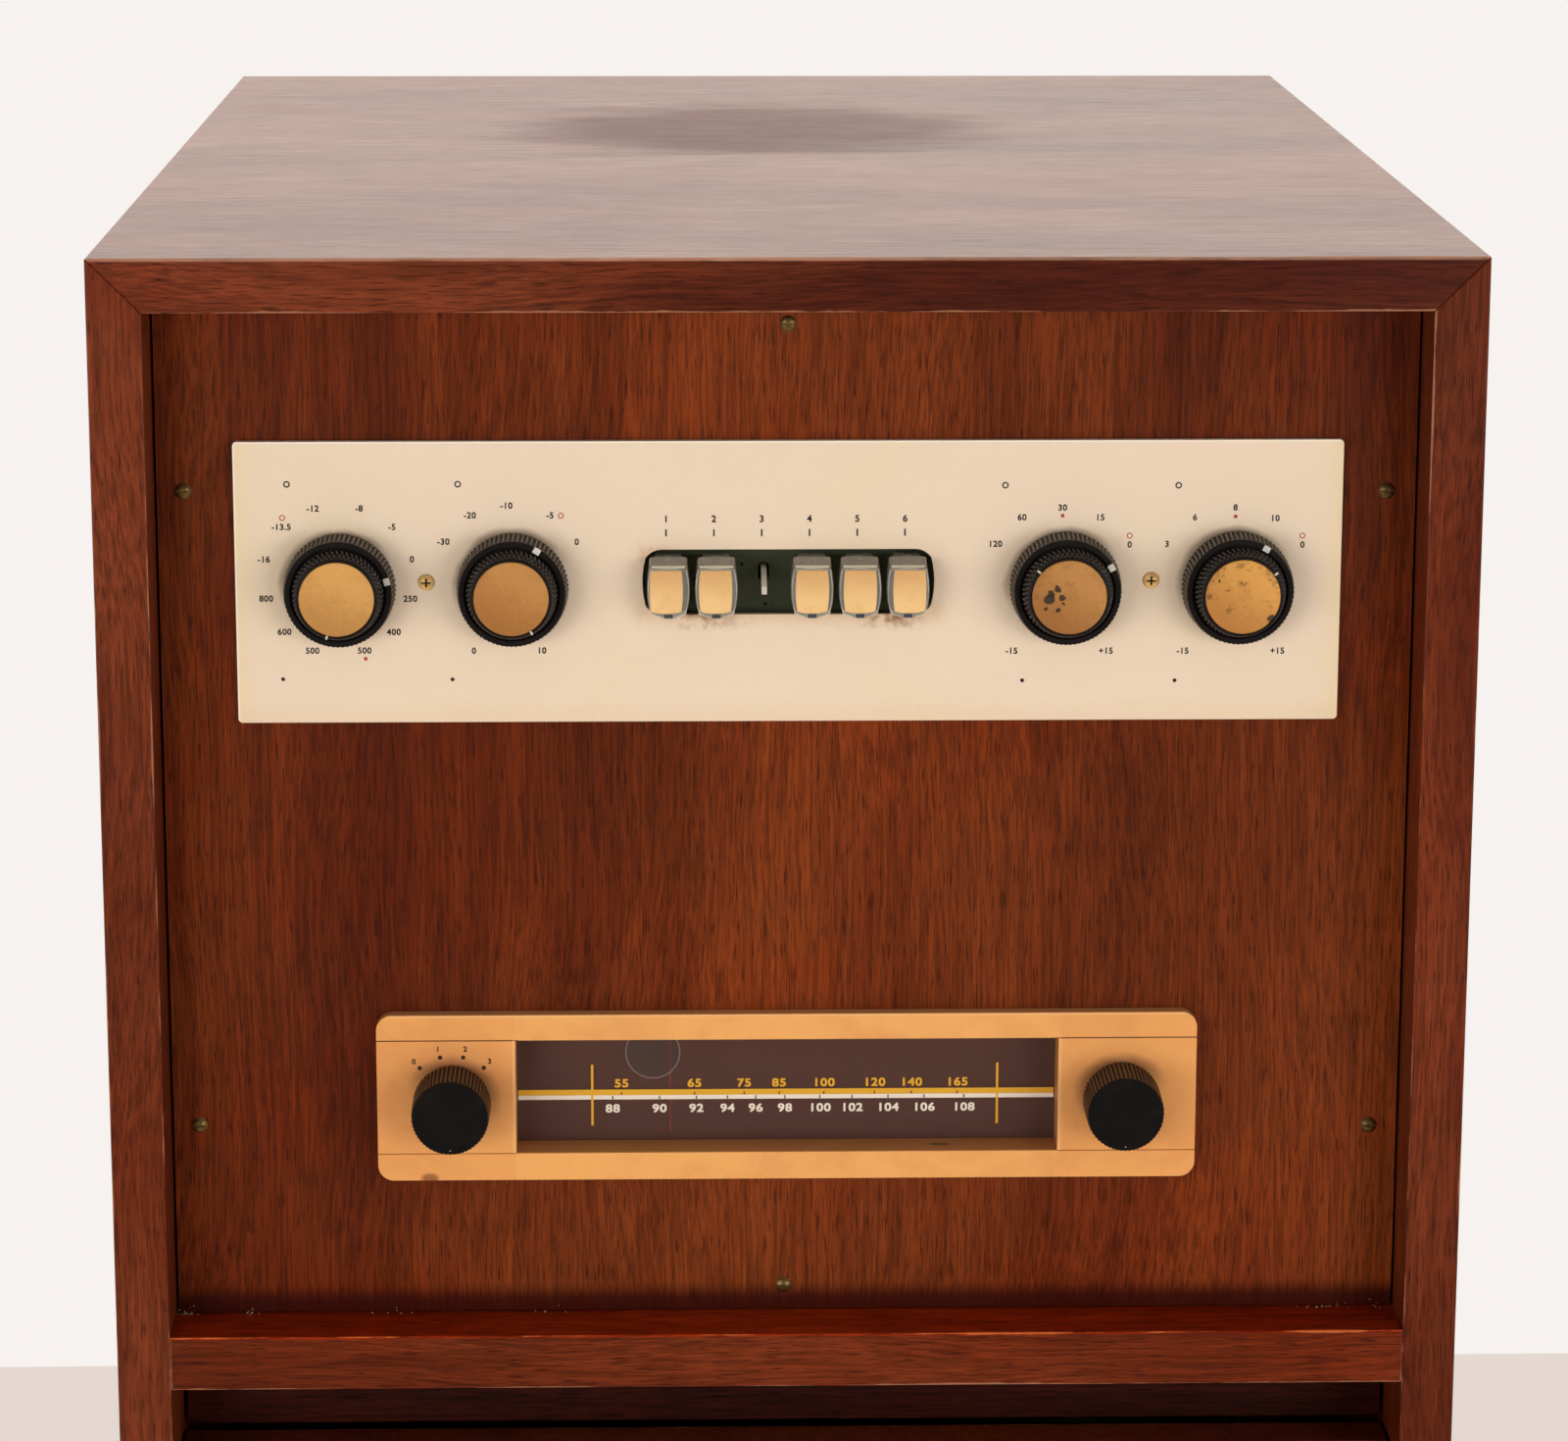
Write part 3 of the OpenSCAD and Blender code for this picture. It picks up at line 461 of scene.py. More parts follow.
@dataclass(frozen=True)
class Veneer(Finish):
    """Lacquered walnut with its grain along one axis, worn pale along its edges."""

    grain: Axis = Axis.Z
    dark: Colour = srgb(62, 22, 9)
    mid: Colour = srgb(104, 43, 19)
    bright: Colour = srgb(132, 58, 25)
    rough: float = 0.36
    seed: float = 0.0
    board: str = ""
    wear: float = 0.0
    # A pale film on the top face: partly real lacquer haze, partly painted sheen.
    haze: float = 0.0
    grime: float = 0.0
    coat: float = 0.0
    contrast: float = 1.0
    # The foot setting darkens the bottom of the board: painted shade where the shelf meets it, partly grime.
    foot: float = 0.0
    # The ledge setting tints the board's top face a deeper red: painted bounce light off the red panel, with
    # the shade on it.
    ledge: float = 0.0

    def fill(self, graph: Graph) -> None:
        """Make the material's nodes."""
        place = graph.place()
        parts = graph.split(place)
        wood = graph.group(
            grain_group(), Vector=graph.join(*(parts[i] for i in self.grain.value)), Seed=self.seed
)
        blend = graph.scaled(wood["Ring"], 0.22, graph.times(wood["Band"], 0.5))
        blend = graph.scaled(wood["Mass"], 0.73, blend)
        spread = 0.26 / self.contrast
        place_on_ramp = graph.step(blend, 0.725 - spread, 0.725 + spread)
        colour = graph.ramp(
            place_on_ramp, [(0.0, self.dark), (0.45, self.mid), (0.8, self.bright), (1.0, self.mid)]
)
        fine = graph.step(wood["Fibre"], 0.3, 0.7, 0.66, 1.34)
        colour = graph.mix(1.0, colour, graph.join(fine, fine, fine), "MULTIPLY")
        colour = graph.over(colour, deeper(self.dark, 0.4), wood["Pore"], 0.6)
        dirt = graph.dirt(place, 7.0)
        ruddy = graph.mix(1.0, colour, (1.12, 0.78, 0.4), "MULTIPLY")
        colour = graph.over(colour, ruddy, dirt["Patch"], 0.7)
        rough = graph.scaled(dirt["Dirt"], 0.16, self.rough - 0.08)
        if self.grime:
            colour = graph.over(colour, self.dark, dirt["Patch"], self.grime)
        if self.haze:
            colour, rough = self.hazed(graph, place, colour, rough)
        if self.wear:
            low, high = (Vector(corner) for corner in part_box(self.board))
            edge = graph.group(
                edge_group(), Vector=place, Middle=tuple((low + high) / 2), Half=tuple((high - low) / 2)
)
            worn = graph.group(wear_group(), Vector=place, Distance=edge["Distance"], Width=self.wear * MM)
            colour = graph.over(colour, srgb(176, 120, 88), worn["Mask"], 0.75)
            rough = graph.scaled(worn["Mask"], 0.15, rough)
        height = graph.scaled(wood["Pore"], -0.7, graph.times(wood["Fibre"], 0.4))
        # Painted shade, partly grime: the panel darkens to a deep red just above the shelf.
        if self.foot:
            low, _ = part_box(self.board)
            shade = graph.step(
                graph.split(place)[2], low[2] + 0.3 * self.foot * MM, low[2] + self.foot * MM, 0.9, 0.0
)
            colour = graph.mix(shade, colour, srgb(52, 6, 2))
        # Painted light: the shelf's top face is tinted a deeper, more saturated red, standing for light
        # bounced off the red panel and the shade there.
        if self.ledge:
            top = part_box(self.board)[1][2]
            flat = graph.step(graph.split(place)[2], top - 1.2 * MM, top - 0.5 * MM, 0.0, self.ledge)
            colour = graph.mix(flat, colour, graph.mix(1.0, colour, (1.75, 0.85, 0.3), "MULTIPLY"))
        coat = self.coat
        if self.haze:
            coat = graph.times(self.coat, self.polish(graph, place))
        graph.surface(
            colour, rough, height, 0.045, Specular_IOR_Level=0.09, Coat_Weight=coat, Coat_Roughness=0.22
)

    def reach(self, graph: Graph, place: Socket, ripple: Socket) -> Socket:
        """Return the distance from the stain in the top, made uneven by a ripple."""
        x, y, _ = graph.split(place)
        return graph.plus(
            graph.length(graph.join(graph.plus(x, -STAIN[0]), graph.plus(y, -STAIN[1]), 0.0)), ripple
)

    def polish(self, graph: Graph, place: Socket) -> Socket:
        """Return how bright the polish is: duller in the middle of the back of the board."""
        x, y, _ = graph.split(place)
        reach = self.reach(graph, place, graph.scaled(graph.noise(place, 20.0, 5.0, 0.65), 0.16, -0.08))
        streak = graph.noise(graph.join(graph.times(x, 0.05), y, 0.0), 330.0, 4.0, 0.7)
        streak = graph.step(streak, 0.32, 0.68, 0.72, 1.16)
        return graph.times(graph.step(reach, 0.04, 0.135, 0.62, 1.0), streak)

    def hazed(self, graph: Graph, place: Socket, colour: Socket, rough: Socket) -> tuple[Socket, Socket]:
        """Lay a milky, unevenly polished film over the top face, partly real lacquer haze and partly painted
        sheen of the light on it, with one dull ring-like stain.

        Args:
            graph: the material's graph.
            place: the coordinates.
            colour: the wood's colour.
            rough: the wood's roughness.

        Returns:
            The new colour and roughness.
        """
        x, y, z = graph.split(place)
        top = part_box(self.board)[1][2]
        up = graph.step(z, top - 1.5 * MM, top - 0.6 * MM)
        stretched = graph.join(graph.times(x, 0.35), y, 0.0)
        film = graph.noise(stretched, 9.0, 5.0, 0.62)
        ripple = graph.scaled(graph.noise(stretched, 26.0, 5.0, 0.65), 0.15, -0.075)
        stain = graph.fall(self.reach(graph, place, ripple), 0.06, 0.13)
        milky = graph.times(graph.step(film, 0.25, 0.7, 0.5, 1.0), self.haze)
        fibre = graph.noise(graph.join(graph.times(x, 0.05), y, 0.0), 420.0, 4.0, 0.75)
        milky = graph.times(milky, graph.step(fibre, 0.32, 0.68, 0.5, 1.25))
        milky = graph.times(milky, graph.scaled(stain, -0.45, 1.0))
        milky = graph.times(milky, up)
        # The pale film, on the top face only: partly real lacquer haze, partly painted sheen of the light
        # falling on the top.
        colour = graph.mix(milky, colour, srgb(212, 164, 134))
        colour = graph.over(colour, self.dark, graph.times(stain, up), 0.2)
        return colour, graph.scaled(stain, 0.10, rough)


@dataclass(frozen=True)
class RawBoard(Finish):
    """Bare plywood or hardboard."""

    grain: Axis = Axis.Y
    light: Colour = srgb(186, 146, 102)
    dark: Colour = srgb(140, 100, 64)

    def fill(self, graph: Graph) -> None:
        """Make the material's nodes."""
        place = graph.place()
        parts = graph.split(place)
        wood = graph.group(grain_group(), Vector=graph.join(*(parts[i] for i in self.grain.value)), Seed=3.0)
        dirt = graph.dirt(place, 9.0)
        colour = graph.mix(graph.step(wood["Ring"], 0.35, 0.7), self.dark, self.light)
        colour = graph.over(colour, deeper(self.dark, 0.5), wood["Pore"], 0.35)
        colour = graph.over(colour, deeper(self.dark, 0.6), dirt["Patch"], 0.35)
        graph.surface(colour, graph.scaled(dirt["Dirt"], 0.2, 0.6), wood["Fibre"], 0.08)


@dataclass(frozen=True)
class Metal(Finish):
    """Bare or plated metal, brushed along one axis, with dull patches."""

    colour: Colour = srgb(150, 150, 148)
    dull: Colour = srgb(96, 92, 86)
    rough: float = 0.38
    brushed: float = 0.5
    patches: float = 0.4
    metallic: float = 1.0

    def fill(self, graph: Graph) -> None:
        """Make the material's nodes."""
        place = graph.place()
        dirt = graph.dirt(place, 28.0)
        lines = graph.noise(graph.stretched(place, (0.05, 1.0, 1.0)), 1800.0, 2.0)
        colour = graph.over(self.colour, self.dull, dirt["Patch"], self.patches)
        colour = graph.over(colour, deeper(self.dull, 0.5), dirt["Speck"], self.patches)
        rough = graph.scaled(dirt["Dirt"], 0.25, self.rough - 0.1)
        rough = graph.scaled(lines, 0.12 * self.brushed, rough)
        graph.surface(colour, rough, lines, 0.01 * self.brushed, Metallic=self.metallic)


@dataclass(frozen=True)
class Paint(Finish):
    """Sprayed enamel with a light orange-peel texture, stains and chips."""

    colour: Colour = srgb(120, 118, 112)
    stain: Colour = srgb(96, 80, 60)
    rough: float = 0.42
    stains: float = 0.3
    peel: float = 0.04
    shine: float = 0.5

    def fill(self, graph: Graph) -> None:
        """Make the material's nodes."""
        place = graph.place()
        dirt = graph.dirt(place, 18.0)
        colour = graph.over(self.colour, self.stain, dirt["Patch"], self.stains)
        colour = graph.over(colour, deeper(self.stain, 0.5), dirt["Speck"], self.stains)
        rough = graph.scaled(dirt["Dirt"], 0.2, self.rough - 0.08)
        graph.surface(colour, rough, graph.noise(place, 900.0, 2.0), self.peel, Specular_IOR_Level=self.shine)


@dataclass(frozen=True)
class Halo:
    """A ring of grime and painted shade round a knob, stronger above it and to one side where the shadow
    falls, with sizes in metres.
    """

    middle: Point
    radius: float
    soft: float
    strength: float
    tint: Colour
    lean: float
    full: float
    least: float

    def laid(self, graph: Graph, place: Socket, colour: Any) -> Socket:
        """Lay the ring over a colour.

        Args:
            graph: the material's graph.
            place: the coordinates.
            colour: the colour below.

        Returns:
            The new colour.
        """
        x, _, z = graph.split(place)
        ring = graph.group(halo_group(), Vector=place, Middle=self.middle, Radius=self.radius, Soft=self.soft)
        # The lean weights the ring towards where the knob's shadow falls: painted shadow.
        lean = graph.scaled(graph.minus(x, self.middle[0]), self.lean, graph.minus(z, self.middle[2]))
        up = graph.step(lean, -0.006, self.full, self.least, 1.0)
        return graph.over(colour, self.tint, graph.times(ring["Mask"], up), self.strength)


@dataclass(frozen=True)
class Faceplate(Finish):
    """Cream enamel, yellowed along its ends, with grime and painted contact shade round the knobs, grime
    round the keys, and a painted highlight along its top and left edges.
    """

    knobs: tuple[Point, ...] = ()
    window: tuple[Point, Point] = ((0.0, 0.0, 0.0), (0.0, 0.0, 0.0))

    def fill(self, graph: Graph) -> None:
        """Make the material's nodes."""
        place = graph.place()
        x, _, z = graph.split(place)
        low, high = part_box("preamp_faceplate")
        dirt = graph.dirt(place, 16.0)
        fine = graph.dirt(place, 70.0)
        colour = graph.over(srgb(238, 218, 194), srgb(232, 208, 176), dirt["Dirt"], 0.35)
        colour = graph.over(colour, srgb(233, 214, 168), dirt["Patch"], 0.22)
        left, top = graph.minus(x, low[0]), graph.minus(high[2], z)
        ends = graph.math("MINIMUM", left, graph.minus(high[0], x))
        yellow = graph.step(graph.scaled(dirt["Dirt"], 0.012, ends), 0.006, 0.016, 0.45, 0.0)
        colour = graph.mix(yellow, colour, srgb(238, 214, 160))
        # Painted highlight: a thin pale line along the top and left edges, where the bevel catches the light.
        rim = graph.math("MINIMUM", left, top)
        colour = graph.mix(graph.step(rim, 0.0004, 0.0009, 0.8, 0.0), colour, srgb(252, 240, 222))
        foot = graph.step(graph.minus(z, low[2]), 0.001, 0.010, 0.35, 0.0)
        colour = graph.over(colour, srgb(222, 184, 130), foot, fine["Dirt"])
        # Rings round the knobs: grime with painted contact shade.
        for middle in self.knobs:
            for halo in (
                Halo(middle, 0.0204, 0.0030, 0.65, srgb(92, 70, 52), -0.5, 0.018, 0.05),
                Halo(middle, 0.0210, 0.0080, 0.12, srgb(212, 178, 130), -0.5, 0.018, 0.05),
            ):
                colour = halo.laid(graph, place, colour)
        colour = self.key_grime(graph, place, colour, fine)
        specks = graph.times(fine["Speck"], graph.times(dirt["Patch"], 0.35))
        colour = graph.mix(specks, colour, srgb(150, 112, 72))
        rough = graph.scaled(fine["Dirt"], 0.18, 0.3)
        graph.surface(colour, rough, graph.noise(place, 700.0, 2.0), 0.02, Specular_IOR_Level=0.35)

    def key_grime(self, graph: Graph, place: Socket, colour: Socket, fine: dict[str, Socket]) -> Socket:
        """Lay finger grime about the key window, strongest below it.

        Args:
            graph: the material's graph.
            place: the coordinates.
            colour: the colour under the grime.
            fine: outputs of a fine dirt group.

        Returns:
            The new colour.
        """
        low, high = (Vector(corner) for corner in self.window)
        middle, half = (low + high) / 2, (high - low) / 2
        x, _, z = graph.split(graph.vector("SUBTRACT", place, tuple(middle)))
        out_x = graph.math("MAXIMUM", graph.minus(graph.size(x), half[0]), 0.0)
        out_z = graph.math("MAXIMUM", graph.minus(graph.size(z), half[2]), 0.0)
        away = graph.length(graph.join(out_x, out_z, 0.0))
        ragged = graph.scaled(fine["Dirt"], 0.006, away)
        near = graph.fall(ragged, 0.002, 0.010)
        below = graph.step(z, -0.012, -0.006, 1.0, 0.25)
        colour = graph.over(colour, srgb(206, 170, 122), graph.times(near, below), 0.45)
        for centre, spread, strength in ((-0.0350, 0.009, 0.8), (0.0385, 0.012, 0.9), (-0.0270, 0.014, 0.4)):
            here = graph.fall(graph.size(graph.minus(x, centre)), 0.2 * spread, 1.3 * spread)
            smear = graph.times(
                graph.fall(ragged, 0.0040, 0.0100), graph.fall(z, -0.0125, -0.0110)
)
            smear = graph.times(smear, graph.step(graph.noise(place, 160.0, 4.0, 0.6), 0.38, 0.6))
            colour = graph.over(colour, srgb(142, 96, 56), graph.times(smear, here), strength)
        corner = graph.distance(graph.join(x, 0.0, z), (-0.0500, 0.0, 0.0105))
        tint = graph.times(
            graph.fall(corner, 0.002, 0.015), graph.fall(ragged, 0.0, 0.006)
)
        return graph.over(colour, srgb(206, 156, 112), tint, 0.75)


@dataclass(frozen=True)
class Copper(Finish):
    """Satin copper-coloured metal, sooty and with painted shadow round its knobs, with fine joint lines,
    painted highlights along its edges and painted shade on the walls of its window.
    """

    knobs: tuple[Point, ...] = ()

    def fill(self, graph: Graph) -> None:
        """Make the material's nodes."""
        place = graph.place()
        x, y, z = graph.split(place)
        dirt = graph.dirt(place, 24.0)
        fine = graph.dirt(place, 90.0)
        colour = graph.over(srgb(255, 186, 104), srgb(242, 166, 92), dirt["Dirt"], 0.5)
        colour = graph.over(colour, srgb(214, 132, 76), dirt["Patch"], 0.4)
        colour = graph.over(colour, srgb(150, 84, 44), fine["Speck"], 0.3)
        across = graph.size(x)
        joint = 0.1032
        end = graph.step(across, joint - 0.4 * MM, joint)
        colour = graph.over(colour, srgb(240, 154, 84), end, 0.3)
        # Rings round the knobs: soot with painted shadow, leaning towards the middle.
        for middle in self.knobs:
            inward = -0.4 if middle[0] > 0 else 0.4
            for halo in (
                Halo(middle, 0.0146, 0.0050, 0.75, srgb(92, 52, 28), inward, 0.014, 0.0),
                Halo(middle, 0.016, 0.011, 0.25, srgb(206, 128, 76), inward, 0.014, 0.0),
            ):
                colour = halo.laid(graph, place, colour)
        low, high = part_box("tuner_escutcheon")
        window_low, window_high = 0.4170, 0.4617
        for line in (window_low, window_high):
            gap = graph.size(graph.minus(z, line))
            seam = graph.times(graph.fall(gap, 0.00012, 0.0004), end)
            broken = 0.8 if line == window_high else 0.35
            colour = graph.over(colour, srgb(104, 52, 28), seam, broken)
        # Painted highlights: a pale line along the top edge, and along the bevelled edges of the end blocks
        # beside the window.
        bright = graph.step(graph.minus(high[2], z), 0.0004, 0.0012, 0.7, 0.0)
        edge = graph.step(graph.size(graph.minus(across, joint + 0.4 * MM)), 0.0003, 0.0007, 0.6, 0.0)
        beside = graph.size(graph.minus(z, (window_low + window_high) / 2))
        half = (window_high - window_low) / 2
        edge = graph.times(edge, graph.fall(beside, half, half + 1e-4))
        colour = graph.mix(graph.math("MAXIMUM", bright, edge), colour, srgb(255, 196, 128))
        # Painted shade: the inner walls of the window, set back behind the front face, are darker.
        inside = graph.step(y, low[1] + 0.0004, low[1] + 0.002)
        colour = graph.over(colour, srgb(150, 84, 50), inside, 0.55)
        oval = graph.stretched(graph.vector("SUBTRACT", place, (0.0585, -0.3005, 0.0)), (1.0, 2.2, 0.0))
        spot = graph.fall(graph.length(oval), 0.0035, 0.0046)
        floor = graph.fall(z, window_low + 0.001, window_low + 0.002)
        spot = graph.times(graph.times(spot, floor), inside)
        colour = graph.over(colour, srgb(86, 92, 52), spot, 0.7)
        chip = graph.fall(
            graph.distance(graph.stretched(place, (0.6, 0.0, 1.0)), (-0.0815, 0.0, low[2] + 0.0008)),
            0.0012, 0.0026,
)
        colour = graph.over(colour, srgb(150, 82, 40), chip, 0.8)
        lines = graph.noise(graph.stretched(place, (0.04, 1.0, 1.0)), 1500.0, 2.0)
        rough = graph.scaled(dirt["Dirt"], 0.2, 0.36)
        graph.surface(colour, rough, lines, 0.006, Metallic=0.2)


@dataclass(frozen=True)
class Knurled(Finish):
    """Dark moulded plastic whose ridges are lighter grey-brown, partly worn and partly a painted highlight.
    """

    valley: Colour = srgb(14, 11, 10)
    ridge: Colour = srgb(112, 98, 86)
    face: Colour = srgb(30, 25, 23)
    chips: float = 0.25
    rough: float = 0.42

    def fill(self, graph: Graph) -> None:
        """Make the material's nodes."""
        place = graph.place()
        crest = graph.node("Attribute", attribute_name="crest").outputs["Fac"]
        side = graph.node("Attribute", attribute_name="side").outputs["Fac"]
        dirt = graph.dirt(place, 120.0)
        # Lighter crests: partly wear, partly a painted highlight along each ridge.
        worn = graph.times(graph.step(crest, 0.35, 0.95), graph.step(dirt["Dirt"], 0.25, 0.6, 0.45, 1.0))
        flank = graph.mix(worn, self.valley, self.ridge)
        colour = graph.mix(side, graph.over(self.face, self.valley, dirt["Patch"], 0.3), flank)
        chip = graph.times(graph.step(graph.noise(place, 420.0, 2.0), 0.68, 0.74), graph.times(crest, side))
        colour = graph.over(colour, srgb(206, 200, 190), chip, self.chips)
        rough = graph.scaled(dirt["Dirt"], 0.25, self.rough - 0.12)
        graph.surface(colour, rough, graph.noise(place, 1600.0, 2.0), 0.015, Specular_IOR_Level=0.1)


@dataclass(frozen=True)
class CrossScrew(Finish):
    """Bright brass screws with painted shade in their cross recess."""

    axes: tuple[Point, ...] = ()
    face: float = 0.0

    def fill(self, graph: Graph) -> None:
        """Make the material's nodes."""
        place = graph.place()
        _, y, _ = graph.split(place)
        flat = graph.stretched(place, (1.0, 0.0, 1.0))
        near = graph.math("MINIMUM", *(graph.distance(flat, axis) for axis in self.axes))
        # Painted shade: the cross recess is coloured dark brown.
        deep = graph.step(y, self.face - 0.95 * MM, self.face - 0.75 * MM)
        recess = graph.times(deep, graph.fall(near, 1.7 * MM, 1.9 * MM))
        fine = graph.dirt(place, 160.0)
        colour = graph.over(srgb(255, 208, 128), srgb(176, 122, 60), fine["Patch"], 0.4)
        colour = graph.mix(recess, colour, srgb(30, 20, 10))
        rim = graph.step(near, 2.6 * MM, 3.0 * MM)
        colour = graph.over(colour, srgb(110, 78, 36), rim, 0.6)
        graph.surface(colour, graph.scaled(fine["Dirt"], 0.2, 0.22), fine["Dirt"], 0.01, Metallic=0.35)


@dataclass(frozen=True)
class Disc(Finish):
    """Satin brass-coloured disc of a knob, with a painted sheen across its face, spotted where its lacquer
    has failed.
    """

    middle: Point = (0.0, 0.0, 0.0)
    blots: tuple[tuple[float, float, float], ...] = ()
    pitted: float = 0.0
    light: Colour = srgb(236, 178, 98)
    deep: Colour = srgb(206, 148, 76)

    def fill(self, graph: Graph) -> None:
        """Make the material's nodes."""
        place = graph.vector("SUBTRACT", graph.place(), self.middle)
        x, _, z = graph.split(place)
        dirt = graph.dirt(place, 70.0)
        fine = graph.dirt(place, 190.0)
        # Painted sheen: the disc goes from deeper to lighter brass towards its upper right.
        slope = graph.scaled(x, 0.7, graph.scaled(dirt["Dirt"], 0.02, z))
        colour = graph.mix(graph.step(slope, -0.004, 0.022), self.deep, self.light)
        colour = graph.over(colour, deeper(self.deep, 0.72), dirt["Patch"], 0.3)
        colour = graph.over(colour, srgb(84, 54, 26), fine["Speck"], 0.12 + self.pitted * 0.7)
        if self.pitted:
            rust = graph.step(graph.noise(place, 260.0, 4.0, 0.7), 0.55, 0.63)
            centre = graph.step(graph.noise(place, 55.0, 2.0), 0.42, 0.6)
            colour = graph.over(colour, srgb(94, 58, 28), graph.times(rust, centre), self.pitted)
        ripple = graph.scaled(graph.noise(place, 330.0, 3.0, 0.6), 0.0036, -0.0018)
        flat = graph.stretched(place, (1.0, 0.0, 1.0))
        for x, z, radius in self.blots:
            gap = graph.plus(graph.distance(flat, (x * MM, 0.0, z * MM)), ripple)
            mask = graph.step(gap, radius * MM * 0.85, radius * MM * 1.1, 0.92, 0.0)
            colour = graph.mix(mask, colour, srgb(58, 46, 36))
        rings = graph.noise(graph.stretched(place, (1.0, 1.0, 0.04)), 2200.0, 1.0)
        rough = graph.scaled(fine["Dirt"], 0.22, 0.34)
        graph.surface(colour, rough, rings, 0.004, Metallic=0.4)


@dataclass(frozen=True)
class CreamInsert(Finish):
    """Cream plastic seen through a key cap, deeper at its top, with brown specks."""

    low: float = 0.0
    high: float = 1.0
    seed: float = 0.0

    def fill(self, graph: Graph) -> None:
        """Make the material's nodes."""
        place = graph.place()
        _, _, z = graph.split(place)
        fine = graph.dirt(graph.vector("ADD", place, (self.seed, 0.0, self.seed)), 110.0)
        up = graph.math("DIVIDE", graph.minus(z, self.low), self.high - self.low)
        colour = graph.mix(graph.step(up, 0.15, 1.0), srgb(242, 200, 134), srgb(218, 168, 106))
        colour = graph.over(colour, srgb(214, 164, 98), fine["Patch"], 0.3)
        speck = graph.times(fine["Speck"], graph.step(graph.noise(place, 260.0), 0.5, 0.6))
        colour = graph.over(colour, srgb(120, 78, 36), speck, 0.8)
        graph.surface(colour, graph.scaled(fine["Dirt"], 0.2, 0.3), fine["Dirt"], 0.01)


@dataclass(frozen=True)
class Clear(Finish):
    """Clear glass or plastic with a tint and faint scratches."""

    tint: Colour = (0.95, 0.93, 0.88)
    rough: float = 0.06
    weight: float = 1.0
    alpha: float = 1.0

    def fill(self, graph: Graph) -> None:
        """Make the material's nodes."""
        place = graph.place()
        fine = graph.dirt(place, 150.0)
        colour = graph.over(self.tint, deeper(self.tint, 0.7), fine["Speck"], 0.15)
        rough = graph.scaled(fine["Dirt"], 0.06, self.rough)
        graph.surface(
            colour, rough, fine["Dirt"], 0.004, Transmission_Weight=self.weight, IOR=1.49, Alpha=self.alpha
)


@dataclass(frozen=True)
class Ink(Finish):
    """Printed ink, slightly broken."""

    colour: Colour = srgb(58, 38, 26)
    faded: Colour = srgb(120, 96, 74)

    def fill(self, graph: Graph) -> None:
        """Make the material's nodes."""
        broken = graph.step(graph.noise(graph.place(), 1500.0, 2.0), 0.55, 0.8)
        graph.surface(graph.over(self.colour, self.faded, broken, 0.5), 0.5)


# ---------------------------------------------------------------------- meshes


class Builder:
    """Turns a bmesh into a finished piece that rides on a CAD body."""

    def __init__(self, frame: dict[str, Any]) -> None:
        """Keep the loaded frame."""
        self.frame = frame

    def piece(
        self, shape: bmesh.types.BMesh, name: str, body: str, finish: Finish, slot: str, replaced: Sequence[
            str
] = (),
        sharp: float = 35.0,
    ) -> bpy.types.Object:
        """Finish a shape as an object.

        Args:
            shape: the bmesh, in metres in the console's frame. It is freed.
            name: the piece's name.
            body: the CAD body that it rides on.
            finish: its finish.
            slot: the record's material slot; not used.
            replaced: the CAD nodes that it stands for.
            sharp: edges with a larger angle, in degrees, stay sharp.

        Returns:
            The object.
        """
        for face in shape.faces:
            face.smooth = True
        limit = math.radians(sharp)
        for edge in shape.edges:
            edge.smooth = not edge.is_manifold or edge.calc_face_angle(0.0) < limit
        mesh = bpy.data.meshes.new(name)
        shape.to_mesh(mesh)
        shape.free()
        obj = bpy.data.objects.new(name, mesh)
        bpy.context.scene.collection.objects.link(obj)
        obj.data.materials.append(finish.make())
        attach(obj, body)
        if replaced:
            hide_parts(*replaced)
        LOG.info("%s: %d faces on %s", name, len(mesh.polygons), body)
        return obj

    def dress(self, node: str, finish: Finish, bevel: float = 0.0, smooth: bool = False) -> None:
        """Give a CAD node a finish, and ease its edges.

        Args:
            node: the node.
            finish: its finish.
            bevel: width of the eased edges in millimetres, or 0.
            smooth: True for a node with round faces.
        """
        obj = self.frame["nodes"][node]
        material = finish.make()
        if obj.material_slots:
            for slot in obj.material_slots:
                slot.material = material
        else:
            obj.data.materials.append(material)
        if bevel or smooth:
            weld = obj.modifiers.new("weld", "WELD")
            weld.merge_threshold = 1e-5
        if bevel:
            ease = obj.modifiers.new("ease", "BEVEL")
            ease.width = bevel * MM
            ease.segments = 2
            ease.limit_method = "ANGLE"
            ease.angle_limit = math.radians(40)
        if smooth:
            obj.data.polygons.foreach_set("use_smooth", [True] * len(obj.data.polygons))
            split = obj.modifiers.new("split", "EDGE_SPLIT")
            split.split_angle = math.radians(30)
        LOG.info("%s dressed in %s", node, finish.name)


def block(low: Sequence[float], high: Sequence[float], bevel: float = 0.0) -> bmesh.types.BMesh:
    """Return a box between two corners with eased edges.

    Args:
        low: lowest corner in metres.
        high: highest corner in metres.
        bevel: width of the eased edges in metres.

    Returns:
        The bmesh.
    """
    shape = bmesh.new()
    size = [b - a for a, b in zip(low, high)]
    middle = [(a + b) / 2 for a, b in zip(low, high)]
    bmesh.ops.create_cube(shape, size=1.0, matrix=Matrix.Translation(middle) @ Matrix.Diagonal((*size, 1.0)))
    if bevel:
        bmesh.ops.bevel(
            shape, geom=shape.edges[:], offset=bevel, segments=3, profile=0.5, affect="EDGES", material=-1,
            clamp_overlap=True,
        )
    return shape


